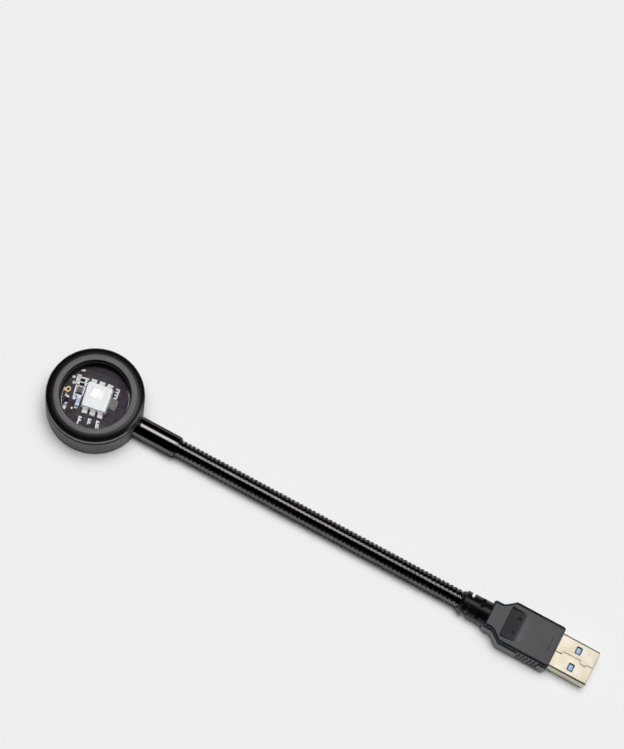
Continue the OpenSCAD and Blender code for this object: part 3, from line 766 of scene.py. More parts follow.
        lip = self.retainer_d / 2 + self.slip
        skirt_r = self.opening_d / 2 - self.opening_step + self.skirt
        arc = self.shoulder_arc()
        base = rounded(
            [(skirt_r + self.slip, top + self.slip), (inner - self.slip, top + self.slip),
             (inner - self.slip, self.housing_top + 0.02), (outer - 0.12, self.housing_top + 0.02),
             (outer, self.housing_top + 0.14)], [0, 0, 0, 0.05, 0.08], 4)
        rim = [(lip, self.face - self.retainer_face_t),
               (skirt_r + self.slip, self.face - self.retainer_face_t)]
        settle(self.turned("bezel_ring", base + arc + rim, BEZEL_ABS), "head",
               "front_bezel", "front_bezel")

        bore, opening = self.opening_d / 2 - self.opening_step, self.opening_d / 2
        step = self.face - self.step_drop
        ring = rounded(
            [(bore, top), (skirt_r, top), (skirt_r, self.face - self.retainer_face_t),
             (lip - 0.01, self.face - self.retainer_face_t), (lip - 0.01, self.face),
             (opening + 0.12, self.face), (opening, self.face - 0.12), (opening, step),
             (bore, step - self.opening_step)], [0, 0, 0, 0, 0.02, 0.08, 0.08, 0.06, 0.06], 4)
        retainer = self.turned("retainer_ring", ring, RETAINER_ABS)
        retainer.data.materials.append(BORE_PAINTED_SHADE.material())
        # The bore's upright faces and its low faces take the near-black, as painted shade.
        for face in retainer.data.polygons:
            if abs(face.normal.z) < 0.3 or face.center.z < (step - 1.0) * MM:
                face.material_index = 1
        settle(retainer, "head", "lens_retainer", "lens_retainer")

    def shoulder_arc(self) -> list[Point2]:
        """The bezel's shoulder from its foot to its rim, which meets the face at a slight angle.

        Returns:
            Points of radius and height along the shoulder.
        """
        start = np.array((self.radius, self.face - self.shoulder_drop))
        end = np.array((self.retainer_d / 2 + self.slip, self.face))
        slope = math.radians(self.shoulder_break_deg)
        rise = start + np.array((0.0, 0.72 * self.shoulder_drop))
        lead = end + np.array((math.cos(slope), -math.sin(slope))) * 0.5 * (start[0] - end[0])
        arc = []
        for k in range(33):
            t = k / 32
            point = ((1 - t) ** 3 * start + 3 * t * (1 - t) ** 2 * rise
                     + 3 * t * t * (1 - t) * lead + t ** 3 * end)
            arc.append((float(point[0]), float(point[1])))
        return arc

    def build_lens(self) -> None:
        """A plano-convex lens whose dome stands on a flat flange."""
        steps = 40
        foot = math.asin(self.dome_foot / self.lens_r)
        angles = [foot * (1 - k / steps) for k in range(steps + 1)]
        dome = [(self.lens_r * math.sin(a), self.dome_z + self.lens_r * math.cos(a))
                for a in angles]
        rim = self.dome_foot + self.lens_rim
        outline = [(0.0, self.lens_flat)] + rounded(
            [(rim, self.lens_flat), (rim, self.lens_flat + self.flange_t)], [0.0, 0.0], 2) + dome
        settle(self.turned("projection_lens", outline, LENS_GLASS), "head", "lens", "lens")

    def build_button(self) -> None:
        """The mode button in the middle of the back, with a dished face."""
        low, high = box_mm("mode_button")
        face, radius, stem, flange = low.z, self.button_r, self.button_stem_r, (high.x - low.x) / 2
        step = self.cover_t + self.slip
        ledge = step + self.button_flange_t
        dish = [(radius * 0.8 * (1 - k / 10), face + self.dish_depth * (1 - (1 - k / 10) ** 2))
                for k in range(11)]
        outline = dish + [(0.0, high.z), (stem, high.z), (stem, ledge)] + rounded(
            [(flange, ledge), (flange, step), (radius, step), (radius, face)],
            [0.1, 0.1, 0, 0.25], 5)
        settle(self.turned("button_cap", outline, SILICONE), "button", "mode_button", "mode_button")

    # -------------------------------------------------------------- the board

    def on_board(self, points: Sequence[Point3]) -> list[Point3]:
        """Moves points from the LED's own frame, on the board's upper side, into the lamp's.

        Args:
            points: points from the LED's middle, with z from the board.

        Returns:
            The same points in the lamp's frame, in millimetres.
        """
        turn = math.radians(self.led_turn_deg)
        c, s = math.cos(turn), math.sin(turn)
        x0, y0 = self.centre.x - self.led_shift * s, self.centre.y + self.led_shift
        return [(x0 + c * x - s * y, y0 + s * x + c * y, self.board_top + z) for x, y, z in points]

    def placed(self, name: str, parts: Sequence[Skin],
               finish: Finish) -> Piece:
        """Makes a piece from skins drawn in the LED's own frame."""
        points, faces = merged(parts)
        return new_object(name, self.on_board(points), faces, finish)

    def build_board(self) -> None:
        """The LED and the small parts round it."""
        dress("pcb", BOARD)
        self.build_led()
        self.build_small_parts()
        self.build_legend()
        self.build_pads()

    def build_led(self) -> None:
        """A square LED package whose round well is filled nearly flush, on six terminals."""
        half, depth = self.led_w / 2, self.well_depth
        well = self.led_w / 2 - self.well_wall
        square = rectangle(half, half, 0.35, 15)
        around = [math.atan2(y, x) for x, y in square]

        def ring(z: float, inset: float) -> list[Point3]:
            """The package's outline at a height, drawn in by an inset."""
            share = (half - inset) / half
            return [(x * share, y * share, z) for x, y in square]

        def hole(z: float, r: float) -> list[Point3]:
            """A circle at a height, with a point for each one of the outline."""
            return [(r * math.cos(a), r * math.sin(a), z) for a in around]

        top = self.led_h
        rings = [ring(0.0, 0.12), ring(0.16, 0.12), ring(0.2, 0.0), ring(top - 0.12, 0.0),
                 ring(top - 0.03, 0.04), ring(top, 0.13), hole(top, well + 0.03),
                 hole(top - 0.03, well), hole(top - depth, well - 0.1)]
        settle(self.placed("led_body", [loft(rings)], LED_NYLON), "head",
               "led_package", "led_package")
        potting = [(0.0, top - depth + 0.02), (well - 0.11, top - depth + 0.02),
                   (well - 0.02, top - 0.05), (well * 0.6, top - 0.06), (0.0, top - 0.06)]
        skin = lathe(potting, 64, lambda r, a, z: (r * math.cos(a), r * math.sin(a), z))
        settle(self.placed("led_potting", [skin], LED_POTTING), "head", "led_window", "led_window")

        profile = rounded(
            [(half - 0.05, 0.75), (half - 0.05, 0.0), (half + 0.8, 0.0), (half + 0.8, 0.16),
             (half + 0.4, 0.35), (half + 0.12, 0.75)], [0, 0.0, 0.05, 0.05, 0.12, 0.05], 3)
        tabs = []
        for side in (-1, 1):
            for x in self.tab_x:
                rings = [[(x + dx, side * y, z) for y, z in profile]
                         for dx in (-0.55, -0.5, 0.5, 0.55)]
                tabs.append(loft(rings))
        settle(self.placed("led_tabs", tabs, SOLDER), "head", "led_terminals", "led_terminals")

    def chip_ends(self, x: float, y: float, turn: bool, body: Point3, cap: float
                  ) -> tuple[list, list]:
        """The body of a small part, and its two tinned ends with their fillets of solder.

        Args:
            x: place of its middle, from the LED's.
            y: place of its middle, from the LED's.
            turn: whether it stands across, along Y.
            body: its length between the ends, width and height.
            cap: length of each end.

        Returns:
            The skins of the body and those of the ends.
        """

        def laid(points: Sequence[Point3]) -> list[Point3]:
            """Turns points as asked, and moves them to the part's place."""
            return [(x - q, y + p, z) if turn else (x + p, y + q, z) for p, q, z in points]

        core, faces = brick((body[0] + 0.02, body[1], body[2]), (0, 0, 0.02), 0.06)
        ends = []
        for side in (-1, 1):
            points, end_faces = brick((cap, body[1] + 0.04, body[2] + 0.03),
                                      (side * (body[0] + cap) / 2, 0, 0.01), 0.07)
            ends.append((laid(points), end_faces))
            points, end_faces = brick((cap * 0.9, body[1] * 0.9, body[2] * 0.35),
                                      (side * (body[0] / 2 + cap * 1.2), 0, 0.0), 0.05)
            ends.append((laid(points), end_faces))
        return [(laid(core), faces)], ends

    def build_small_parts(self) -> None:
        """Driver chip, resistors and capacitor to the left of the LED."""
        edge = -self.led_w / 2
        glaze, tin = [], []
        for x, y, turn in ((edge - 1.2, 2.65, False), (edge - 1.1, 1.85, False),
                           (edge - 3.1, -2.0, True)):
            core, ends = self.chip_ends(x, y, turn, (1.0, 0.5, 0.35), 0.3)
            glaze += core
            tin += ends
        bodies = self.placed("resistor_bodies", glaze, RESISTOR_GLAZE)
        settle(bodies, "head", "resistors", "resistors")
        core, ends = self.chip_ends(edge - 0.9, -1.9, True, (1.2, 0.8, 0.8), 0.4)
        settle(self.placed("capacitor_body", core, CAPACITOR_CERAMIC), "head",
               "capacitor", "capacitor")
        tin += ends
        chip = [brick((1.0, 1.2, 0.5), (edge - 1.1, 0.6, 0.1), 0.08)]
        settle(self.placed("driver_chip_body", chip, CHIP_EPOXY), "head",
               "driver_chip", "driver_chip")
        for side in (-1, 1):
            for step in (-0.4, 0.0, 0.4):
                foot = (edge - 1.1 + side * 0.62, 0.6 + step, 0.0)
                tin.append(brick((0.25, 0.2, 0.25), foot, 0.05))
        settle(self.placed("small_part_ends", tin, SOLDER), "head", "resistors")

    def build_legend(self) -> None:
        """Screen-printed marks: bars and frames that copy no word, though three read like an F."""
        edge = -self.led_w / 2
        bars = [(edge + x, y, w, d) for x, y, w, d in self.left_bars]
        for places, shape in ((self.uprights, self.upright_bars), (self.feet, self.foot_bars)):
            bars += [(x + dx, y + dy, w, d) for x, y in places for dx, dy, w, d in shape]
        marks = [brick((w, d, self.film), (x, y, 0.0), 0.01)
                 for x, y, w, d in (*bars, *self.ladder)]
        settle(self.placed("board_legend", marks, LEGEND_INK), "head", "pcb")

    def build_pads(self) -> None:
        """Two gold pads for the lead, each with its drilled hole."""
        low, high = box_mm("solder_pads")
        outer, hole = self.pad_r, self.pad_hole_r
        outline = rounded(
            [(hole, low.z), (outer, low.z), (outer, high.z), (outer - 0.12, high.z + 0.02),
             (hole + 0.08, high.z + 0.02), (hole, high.z - 0.04)], [0, 0, 0.03, 0.03, 0.03, 0], 3)
        rings = [lathe(outline, 40, upright(self.centre + Vector((x, y, 0.0))))
                 for x, y in self.pad_xy]
        settle(new_object("pad_rings", *merged(rings), GOLD_FLASH), "head",
               "solder_pads", "solder_pads")

    def dress_hidden(self) -> None:
        """Finishes of the CAD's own pieces in the head."""
        for node, finish in {
            "rear_cover": HOUSING_ABS, "lens_gasket": SILICONE, "pcb_screws": SCREW_STEEL,
            "tact_switch": CHIP_EPOXY, "switch_plunger": PLUNGER_POM, "head_wire_red": WIRE_RED,
            "head_wire_black": WIRE_BLACK, "ferrule_set_screw": SCREW_STEEL}.items():
            dress(node, finish)


# ------------------------------------------------------------------ gooseneck


@dataclass
class Gooseneck:
    """The wound metal neck with its smooth sleeve and the lead inside."""

    links: int = 17
    ribs: int = 4
    end_ribs: int = 3
    pitch: float = 1.5
    radius: float = 3.0
    valley: float = 2.58
    bore: float = 1.6
    crown_w: float = 1.16
    around: int = 56
    rows: int = 10
    lead_r: float = 1.1
    tail_r: float = 2.7
    bore_seat: float = 3.05
    # Lengths whose bodies are named from the plug side. The other way round, the ends of this one part by 1.5 mm
    # with every joint at its limit.
    turned_links: tuple[int, ...] = (13,)
    start: float = 0.0
    height: float = 0.0
    link_l: float = 0.0

    def __post_init__(self) -> None:
        """Takes the neck's start and height from the CAD."""
        low, high = box_mm("ferrule")
        self.start = high.x
        self.height = (low.z + high.z) / 2
        self.link_l = self.ribs * self.pitch

    def joint_x(self, k: int) -> float:
        """Place of the joint between lengths k and k + 1."""
        return self.start + k * self.link_l

    def body(self, k: int) -> str:
        """The CAD body of length k.

        Args:
            k: the length's number, counted from the head.

        Returns:
            The body's name.
        """
        if k <= 1:
            return "head"
        return "plug" if k >= self.links else f"neck_{k:02d}"

    def rib(self, u: float) -> float:
        """Radius of the winding: a round wire and a narrow valley.

        Args:
            u: distance along the neck, which repeats with each pitch.

        Returns:
            The radius, in millimetres.
        """
        t = abs(2 * ((u / self.pitch) % 1.0 - 0.5)) * self.pitch / self.crown_w
        if t >= 1:
            return self.valley
        return self.valley + (self.radius - self.valley) * (1 - t ** 2.6) ** (1 / 2.2)

    def wound(self, name: str, x0: float, turns: int) -> Piece:
        """A stretch of winding, cut along its own helix at both ends.

        Args:
            name: the piece's name.
            x0: where the helix starts.
            turns: its number of turns.

        Returns:
            The piece, with the winding's own normals.
        """
        rows, around = turns * self.rows, self.around

        def point(i: int, j: int, r: float) -> Point3:
            """A point of the winding.

            Args:
                i: the step along the neck.
                j: the step round it.
                r: the radius, in millimetres.

            Returns:
                The point, in millimetres.
            """
            a = 2 * math.pi * j / around
            x = x0 + self.pitch * (i / self.rows + j / around)
            return x, r * math.cos(a), self.height + r * math.sin(a)

        def at(i: int, j: int) -> int:
            """The number of a point on the outside."""
            return i * (around + 1) + j

        points, faces = [], []
        for i in range(rows + 1):
            for j in range(around + 1):
                points.append(point(i, j, self.rib(self.pitch * i / self.rows)))
        shift = len(points)
        for i in range(rows + 1):
            for j in range(around + 1):
                points.append(point(i, j, self.bore))
        for i in range(rows):
            for j in range(around):
                quad = (at(i, j), at(i, j + 1), at(i + 1, j + 1), at(i + 1, j))
                faces += [quad, tuple(shift + v for v in reversed(quad))]
        for j in range(around):
            for i in (0, rows):
                faces.append((at(i, j), at(i, j + 1), shift + at(i, j + 1), shift + at(i, j)))
        for i in range(self.rows):
            faces.append((at(i, 0), at(i + 1, 0), shift + at(i + 1, 0), shift + at(i, 0)))
            k = rows - self.rows + i
            faces.append((at(k, around), at(k + 1, around),
                          shift + at(k + 1, around), shift + at(k, around)))
        piece = new_object(name, points, faces, NECK_NICKEL, 60.0)
        self.set_normals(piece, x0)
        return piece

    def set_normals(self, piece: Piece, x0: float) -> None:
        """Sets the normals from the winding's formula, so that no seam shows between pieces.

        Args:
            piece: the stretch of winding.
            x0: where its helix starts.
        """
        mesh, step = piece.data, 0.01
        normals = []
        for corner in mesh.loops:
            x, y, z = (c / MM for c in mesh.vertices[corner.vertex_index].co)
            z -= self.height
            r, a = math.hypot(y, z), math.atan2(z, y) % (2 * math.pi)
            if r < self.valley - 0.05:
                normals.append((0.0, -y / r, -z / r))
                continue
            u = x - x0 - self.pitch * a / (2 * math.pi)
            slope = (self.rib(u + step) - self.rib(u - step)) / (2 * step)
            n = Vector((-slope, math.cos(a), math.sin(a))).normalized()
            normals.append(tuple(n))
        mesh.normals_split_custom_set(normals)

    def tube(self, name: str, x0: float, x1: float) -> Piece:
        """A stretch of the lead inside the neck, with a ring about every millimetre.

        Args:
            name: the piece's name.
            x0: where it starts.
            x1: where it ends.

        Returns:
            The piece.
        """
        steps = max(2, round(x1 - x0))
        rings = [circle_x(self.height, self.lead_r, x0 + (x1 - x0) * i / steps, 16)
                 for i in range(steps + 1)]
        return new_object(name, *loft(rings), WIRE_BLACK)

    def build(self) -> None:
        """Builds the sleeve, the winding and the lead, one stretch across each joint."""
        self.build_sleeve()
        half = self.link_l / 2
        first, last = self.joint_x(1) - half, self.joint_x(self.links - 1) + half
        lead_low, lead_high = box_mm("lead")
        overlap = self.pitch / 2
        ends = self.end_ribs
        settle(self.wound("neck_winding_00", first - overlap - ends * self.pitch, ends), "head",
               "gooseneck")
        settle(self.wound("neck_winding_17", last - overlap, ends), "plug", "gooseneck",
               f"neck_link_{self.links:02d}")
        settle(self.tube("lead_00", lead_low.x, first), "head", "lead", "lead")
        settle(self.tube("lead_17", last, lead_high.x), "plug", "lead")
        relief_x, grip_x = box_mm("strain_relief")[0].x, box_mm("plug_overmold")[0].x
        tail = [(self.bore, relief_x + 0.5), (self.tail_r, relief_x + 0.5),
                (self.tail_r, grip_x + 2), (self.bore, grip_x + 2)]
        settle(new_object("neck_tail", *lathe(tail, 64, along_x(self.height)), NECK_NICKEL),
               "plug", "gooseneck")
        for k in range(1, self.links):
            x = self.joint_x(k)
            ends = [(self.body(k), Vector((x - half + overlap, 0, self.height)) * MM),
                    (self.body(k + 1), Vector((x + half - overlap, 0, self.height)) * MM)]
            if k in self.turned_links:
                ends.reverse()
            winding = self.wound(f"neck_winding_{k:02d}", x - half - overlap, self.ribs)
            core = self.tube(f"lead_{k:02d}", x - half, x + half)
            for piece, slot in ((winding, "gooseneck"), (core, "lead")):
                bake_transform(piece)
            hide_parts(f"neck_link_{k:02d}")
            LOG.info("piece %s across joint %d", winding.name, k)

    def build_sleeve(self) -> None:
        """The smooth sleeve between head and winding, with a fine turned line near its end."""
        low, high = box_mm("ferrule")
        outer, spigot = (high.y - low.y) / 2, 2.3
        shoulder = box_mm("rear_cover")[1].x - 0.7
        outline = rounded(
            [(self.bore, low.x), (spigot, low.x), (spigot, shoulder), (outer, shoulder),
             (outer, high.x - 0.9), (outer - 0.08, high.x - 0.82), (outer, high.x - 0.74),
             (outer, high.x), (self.bore_seat, high.x), (self.bore_seat, high.x - 10),
             (self.bore, high.x - 10)],
            [0, 0.1, 0, 0.1, 0.03, 0.03, 0.03, 0.35, 0.1, 0, 0], 6)
        sleeve = new_object("neck_sleeve", *lathe(outline, 96, along_x(self.height)), SLEEVE_NICKEL)
        settle(sleeve, "head", "ferrule", "ferrule")


# ------------------------------------------------------------------ plug


@dataclass
class Plug:
    """The USB plug: strain relief, moulded grip, metal shell and what they hold."""

    relief_l: float = 9.7
    relief_r0: float = 3.9
    relief_r1: float = 4.1
    relief_lip: float = 0.9
    slot_x: float = 2.65
    slot_w: float = 0.9
    slot_pitch: float = 3.7
    slot_floor: float = 2.8
    slot_half_deg: float = 62.0
    rear_w: float = 10.0
    rear_l: float = 2.6
    flare_l: float = 4.1
    face_t: float = 0.8
    face_inset: float = 0.5
    groove_d: float = 0.6
    groove_w: float = 0.5
    rib_count: int = 5
    rib_pitch: float = 1.3
    rib_groove: float = 0.92
    rib_x: float = 7.2
    shell_t: float = 0.3
    shell_round: float = 0.75
    window: Point2 = (2.0, 2.6)
    window_back: float = 6.5
    window_y: float = 3.0
    tongue_t: float = 1.9
    tongue_block: float = 9.0
    tongue_sunk: float = 0.5
    boss_gap: float = 0.7
    ramp_back: float = 0.8
    ramp_l: float = 7.9
    ramp_w: float = 4.95
    ramp_depth: float = 0.55
    ramp_soft: float = 0.24
    dimple: Point2 = (2.7, 2.45)
    dimple_depth: float = 0.5
    line_back: float = 2.4
    line_depth: float = 0.05
    rib_depth: float = 0.75
    corner: float = 0.85
    crown_inset: float = 0.86
    seam_w: float = 0.27
    seam_depth: float = 0.29
    # The seam's line from the shell's mouth, with the dovetail that locks it.
    seam_route: tuple[Point2, ...] = (
        (-13.6, -0.5), (-10.95, -0.5), (-10.75, 0.38), (-4.5, 0.38), (-4.4, -0.6), (-2.5, -0.6),
        (-2.4, 0.0), (0.5, 0.0))
    grip_x: float = 0.0
    grip_l: float = 0.0
    half_w: float = 0.0
    half_h: float = 0.0
    height: float = 0.0

    def __post_init__(self) -> None:
        """Takes the grip's place and size from the CAD."""
        low, high = box_mm("plug_overmold")
        self.grip_x, self.grip_l = low.x, high.x - low.x
        self.half_w, self.half_h = (high.y - low.y) / 2, (high.z - low.z) / 2
        self.height = (low.z + high.z) / 2

    def build(self) -> None:
        """Builds every piece of the plug."""
        self.build_relief()
        self.build_grip()
        self.build_shell()
        self.build_tongue()
        for node, finish in {
            "inner_mould": BLOCK_PP, "neck_crimp": BRASS, "usb_contacts": GOLD_FLASH,
            "plug_wire_red": WIRE_RED, "plug_wire_black": WIRE_BLACK}.items():
            dress(node, finish)

    def relief_radius(self, x: float, a: float) -> float:
        """Radius of the strain relief, which is less in its slots.

        Args:
            x: distance from its free end.
            a: angle from +Y.

        Returns:
            The radius, in millimetres.
        """
        end = self.relief_r0 + (self.relief_r1 - self.relief_r0) * x / self.relief_l
        lip = smoothstep(self.relief_lip - 0.2, self.relief_lip + 0.2, x)
        r = 3.25 + 0.15 * x + (end - 3.25 - 0.15 * x) * lip
        for begin, turn in ((self.slot_x, 0.0), (self.slot_x + self.slot_pitch, math.pi / 2)):
            along = smoothstep(begin - 0.05, begin + 0.05, x) * (
                1 - smoothstep(begin + self.slot_w - 0.05, begin + self.slot_w + 0.05, x))
            off = math.degrees(math.acos(min(1.0, abs(math.cos(a - turn)))))
            share = along * (1 - smoothstep(self.slot_half_deg - 2, self.slot_half_deg + 2, off))
            r += share * (self.slot_floor - r)
        return r

    def build_relief(self) -> None:
        """A short sleeve with two pairs of opposite slots, so that it bends."""
        low, high = box_mm("strain_relief")
        mouth, bore, anchor, count, soft = 3.06, 2.78, 3.2, 120, 0.05
        lip, end, cuts = self.relief_lip, self.relief_l, []
        for begin in (self.slot_x, self.slot_x + self.slot_pitch):
            for wall in (begin, begin + self.slot_w):
                cuts += [wall - soft, wall, wall + soft]
        lines = sorted([0.0, 0.08, lip - 0.2, lip - 0.1, lip, lip + 0.1, lip + 0.2, 1.8, 5.0, 8.6,
                        end + 0.4] + cuts)
        turns = [2 * math.pi * k / count for k in range(count)]
        place = along_x(self.height)
        rings = [[place(self.relief_radius(x, a) - (0.08 if x == 0 else 0.0), a, low.x + x)
                  for a in turns] for x in lines]
        length = high.x - low.x
        for x, r in ((end + 0.4, anchor), (length, anchor), (length, bore), (2.4, bore),
                     (2.3, mouth), (0.0, mouth)):
            rings.append(circle_x(self.height, r, low.x + x, count))
        points, faces = loft(rings + [rings[0]])
        settle(new_object("relief_sleeve", points, faces[:-2], RELIEF_PVC, 38.0), "plug",
               "strain_relief", "strain_relief")

    # -------------------------------------------------------------- the grip

    def half_width(self, x: float) -> float:
        """Half the grip's width at a distance from its rear end."""
        t = min(1.0, max(0.0, (x - self.rear_l) / self.flare_l))
        return self.rear_w / 2 + (self.half_w - self.rear_w / 2) * t * t * (2 - t)

    @property
    def flare_x(self) -> float:
        """Where the grip has its full width, from its rear end."""
        return self.rear_l + self.flare_l

    def grid_lines(self) -> tuple[list[float], list[float]]:
        """Lines of the grip's skin, closer where it has detail.

        Returns:
            Distances from its rear end, and shares of its half width.
        """
        end, flare = self.grip_l, self.flare_x
        ribs = flare + self.rib_x
        along = spaced([
            (0.0, 1.0, 0.1), (1.0, self.rear_l, 0.4), (self.rear_l, flare - 1.1, 0.25),
            (flare - 1.1, flare - 0.4, 0.07), (flare - 0.4, flare + 2.0, 0.3),
            (flare + 2.0, flare + 3.4, 0.08), (flare + 3.4, ribs - 0.6, 0.35),
            (ribs - 0.6, ribs + 7.1, 0.08), (ribs + 7.1, end - 2.8, 0.3),
            (end - 2.8, end - 2.0, 0.08), (end - 2.0, end - 1.0, 0.2), (end - 1.0, end, 0.1)])
        half = self.half_w
        across = spaced([(0.0, 1.7, 0.28), (1.7, 3.2, 0.08), (3.2, 4.6, 0.24), (4.6, 5.3, 0.08),
                         (5.3, half, 0.25)])
        shares = [y / half for y in across]
        return along, [-s for s in reversed(shares[1:])] + shares

    def at_plan(self, x: float, share: float, inset: float, corner: float) -> Point2:
        """A point of the grip's plan.

        Args:
            x: distance from the rear end.
            share: place across, from -1 to 1.
            inset: how far the sides are drawn in.
            corner: radius of the corners.

        Returns:
            The point, from the middle of the grip's rear end.
        """
        zone, rear, front = 2.0, inset * 0.5, inset * 0.3
        if x < zone:
            x = rear + x * (zone - rear) / zone
        elif x > self.grip_l - zone:
            x = self.grip_l - front - (self.grip_l - x) * (zone - front) / zone
        half = self.half_width(x) - inset
        for gap in (x - rear, self.grip_l - front - x):
            if gap < corner:
                half -= corner - math.sqrt(max(corner ** 2 - (corner - gap) ** 2, 0.0))
        return x, share * half

    def sunk(self, x: float, y: float) -> float:
        """Depth of the upper face: the thumb ramp, two dimples and a line at the front.

        Args:
            x: distance from the grip's rear end.
            y: distance from its middle.

        Returns:
            The depth, in millimetres.
        """
        ramp_x, soft = self.flare_x - self.ramp_back, self.ramp_soft
        share = 1 - (x - ramp_x) / self.ramp_l
        depth = self.ramp_depth * max(0.0, share) ** 2.0 * smoothstep(
            ramp_x - soft / 2, ramp_x + soft / 2, x)
        depth *= 1 - smoothstep(self.ramp_w - soft, self.ramp_w + soft,
                                abs(y) + 0.12 * max(0.0, x - ramp_x - 3) ** 1.5)
        gap = math.hypot(x - self.flare_x - self.dimple[0], abs(y) - self.dimple[1])
        depth += self.dimple_depth * (1 - smoothstep(0.38, 0.58, gap))
        line = abs(x - (self.grip_l - self.line_back))
        depth += self.line_depth * (1 - smoothstep(0.04, 0.2, line)) * (
            1 - smoothstep(2.8, 3.1, abs(y)))
        return depth

    def groove(self, x: float) -> float:
        """Depth of the grooves between the ribs on the grip's sides.

        Args:
            x: distance from the grip's rear end.

        Returns:
            The depth, in millimetres.
        """
        start = self.flare_x + self.rib_x - self.rib_pitch / 2
        if not start < x < start + (self.rib_count + 1) * self.rib_pitch:
            return 0.0
        off = abs(((x - start) / self.rib_pitch) % 1.0 - 0.5) * self.rib_pitch
        edge = self.rib_groove / 2
        return self.rib_depth * (1 - smoothstep(edge - 0.05, edge + 0.05, off))

    def build_grip(self) -> None:
        """The moulded grip: two faces on a core, with a groove between them and ribbed sides."""
        along, across = self.grid_lines()
        rows, columns = len(along) - 1, len(across) - 1
        loop = [(0, j) for j in range(columns)] + [(i, columns) for i in range(rows)]
        loop += [(rows, j) for j in range(columns, 0, -1)] + [(i, 0) for i in range(rows, 0, -1)]
        core, top = self.half_h - self.face_t - self.groove_w, self.half_h
        edge = self.face_inset
        plate, deep = self.half_h - self.face_t, self.groove_d + edge
        side = [(0.0, 0.0), (0.35 * core, 0.01), (0.7 * core, 0.05), (core - 0.3, 0.1),
                (core - 0.1, 0.2), (core, 0.38), (core + 0.03, deep), (plate - 0.03, deep),
                (plate, edge + 0.12), (plate + 0.08, edge), (top - 0.34, edge),
                (top - 0.24, edge + 0.06), (top - 0.1, edge + 0.42), (top - 0.02, edge + 0.72),
                (top, edge + self.crown_inset)]
        levels = [(-z, inset) for z, inset in reversed(side[1:])] + side
        points: list[Point3] = []
        for z, inset in levels:
            ribbed = 1.0 if -0.5 * core < z <= core else 0.0
            for i, j in loop:
                x, y = self.at_plan(along[i], across[j], inset, self.corner)
                if j in (0, columns):
                    y -= math.copysign(ribbed * self.groove(x), y)
                points.append((self.grip_x + x, y, self.height + z))
        count = len(loop)
        faces = [(a * count + k, a * count + (k + 1) % count, (a + 1) * count + (k + 1) % count,
                  (a + 1) * count + k) for a in range(len(levels) - 1) for k in range(count)]
        for sign in (1, -1):
            first = len(points)
            for x_line in along:
                for share in across:
                    x, y = self.at_plan(x_line, share, edge + self.crown_inset, self.corner)
                    z = top - (self.sunk(x, y) if sign > 0 else 0.0)
                    points.append((self.grip_x + x, y, self.height + sign * z))
            width = columns + 1
            faces += [(at, at + 1, at + width + 1, at + width) for at in (
                first + i * width + j for i in range(rows) for j in range(columns))]
        grip = new_object("plug_grip", points, faces, GRIP_PVC, 50.0)
        front = self.grip_x + self.grip_l
        cut(grip, [[(x, y, self.height + z) for y, z in self.shell_plan(0.02)]
                   for x in (front - 5.5, front + 2)], GRIP_PVC)
        cut(grip, [circle_x(self.height, 3.25, x, 48)
                   for x in (self.grip_x - 2, self.grip_x + 2.4)], GRIP_PVC)
        grip.data.shade_smooth()
        grip.data.set_sharp_from_angle(angle=math.radians(50))
        self.mark_hollows(grip)
        settle(grip, "plug", "plug_overmold", "plug_overmold")

    def mark_hollows(self, grip: Piece) -> None:
        """Marks how far each point lies in the ramp or a dimple, which the mould leaves matt.

        Args:
            grip: the finished grip.
        """
        mesh = grip.data
        marks = mesh.attributes.new("hollow", "FLOAT", "POINT")
        for mark, vertex in zip(marks.data, mesh.vertices):
            x, y, z = (c / MM for c in vertex.co)
            upper = z > self.height + self.half_h - self.face_t
            sunk = self.sunk(x - self.grip_x, y) - 0.02 if upper else 0.0
            mark.value = smoothstep(0.015, 0.09, sunk)

    # -------------------------------------------------------------- the shell

    def shell_plan(self, grow: float) -> list[Point2]:
        """The shell's outline seen from its mouth.

        Args:
            grow: how far it is drawn out, or in if below 0.

        Returns:
            The outline's points.
        """
        low, high = box_mm("usb_shell")
        a, b = (high.y - low.y) / 2 + grow, (high.z - low.z) / 2 + grow
        return rectangle(a, b, self.shell_round + grow, 8)

    def build_shell(self) -> None:
        """The folded metal shell with its windows, its seam and a slightly rounded mouth."""
        low, high = box_mm("usb_shell")
        tip = high.x
        inner = -self.shell_t
        rings = []
        for x, grow in ((low.x, 0.0), (tip - 0.35, 0.0), (tip - 0.08, -0.05), (tip, -0.14),
                        (tip, inner), (low.x, inner), (low.x, 0.0)):
            rings.append([(x, y, self.height + z) for y, z in self.shell_plan(grow)])
        points, faces = loft(rings)
        shell = new_object("plug_shell", points, faces[:-2], SHELL_NICKEL, 40.0)
        span = 2.0
        for side in (-1, 1):
            for floor in (1, -1):
                hole = rectangle(self.window[0] / 2, self.window[1] / 2, 0.45, 5)
                z0 = self.height + floor * (high.z - low.z) / 2
                cut(shell, [[(tip - self.window_back + x, side * self.window_y + y, z0 + dz)
                             for x, y in hole] for dz in (-span / 2, span / 2)], SHELL_NICKEL)
        self.engrave_seam(shell, tip, high.z)
        soften(shell, 0.05, 34.0)
        settle(shell, "plug", "usb_shell", "usb_shell")

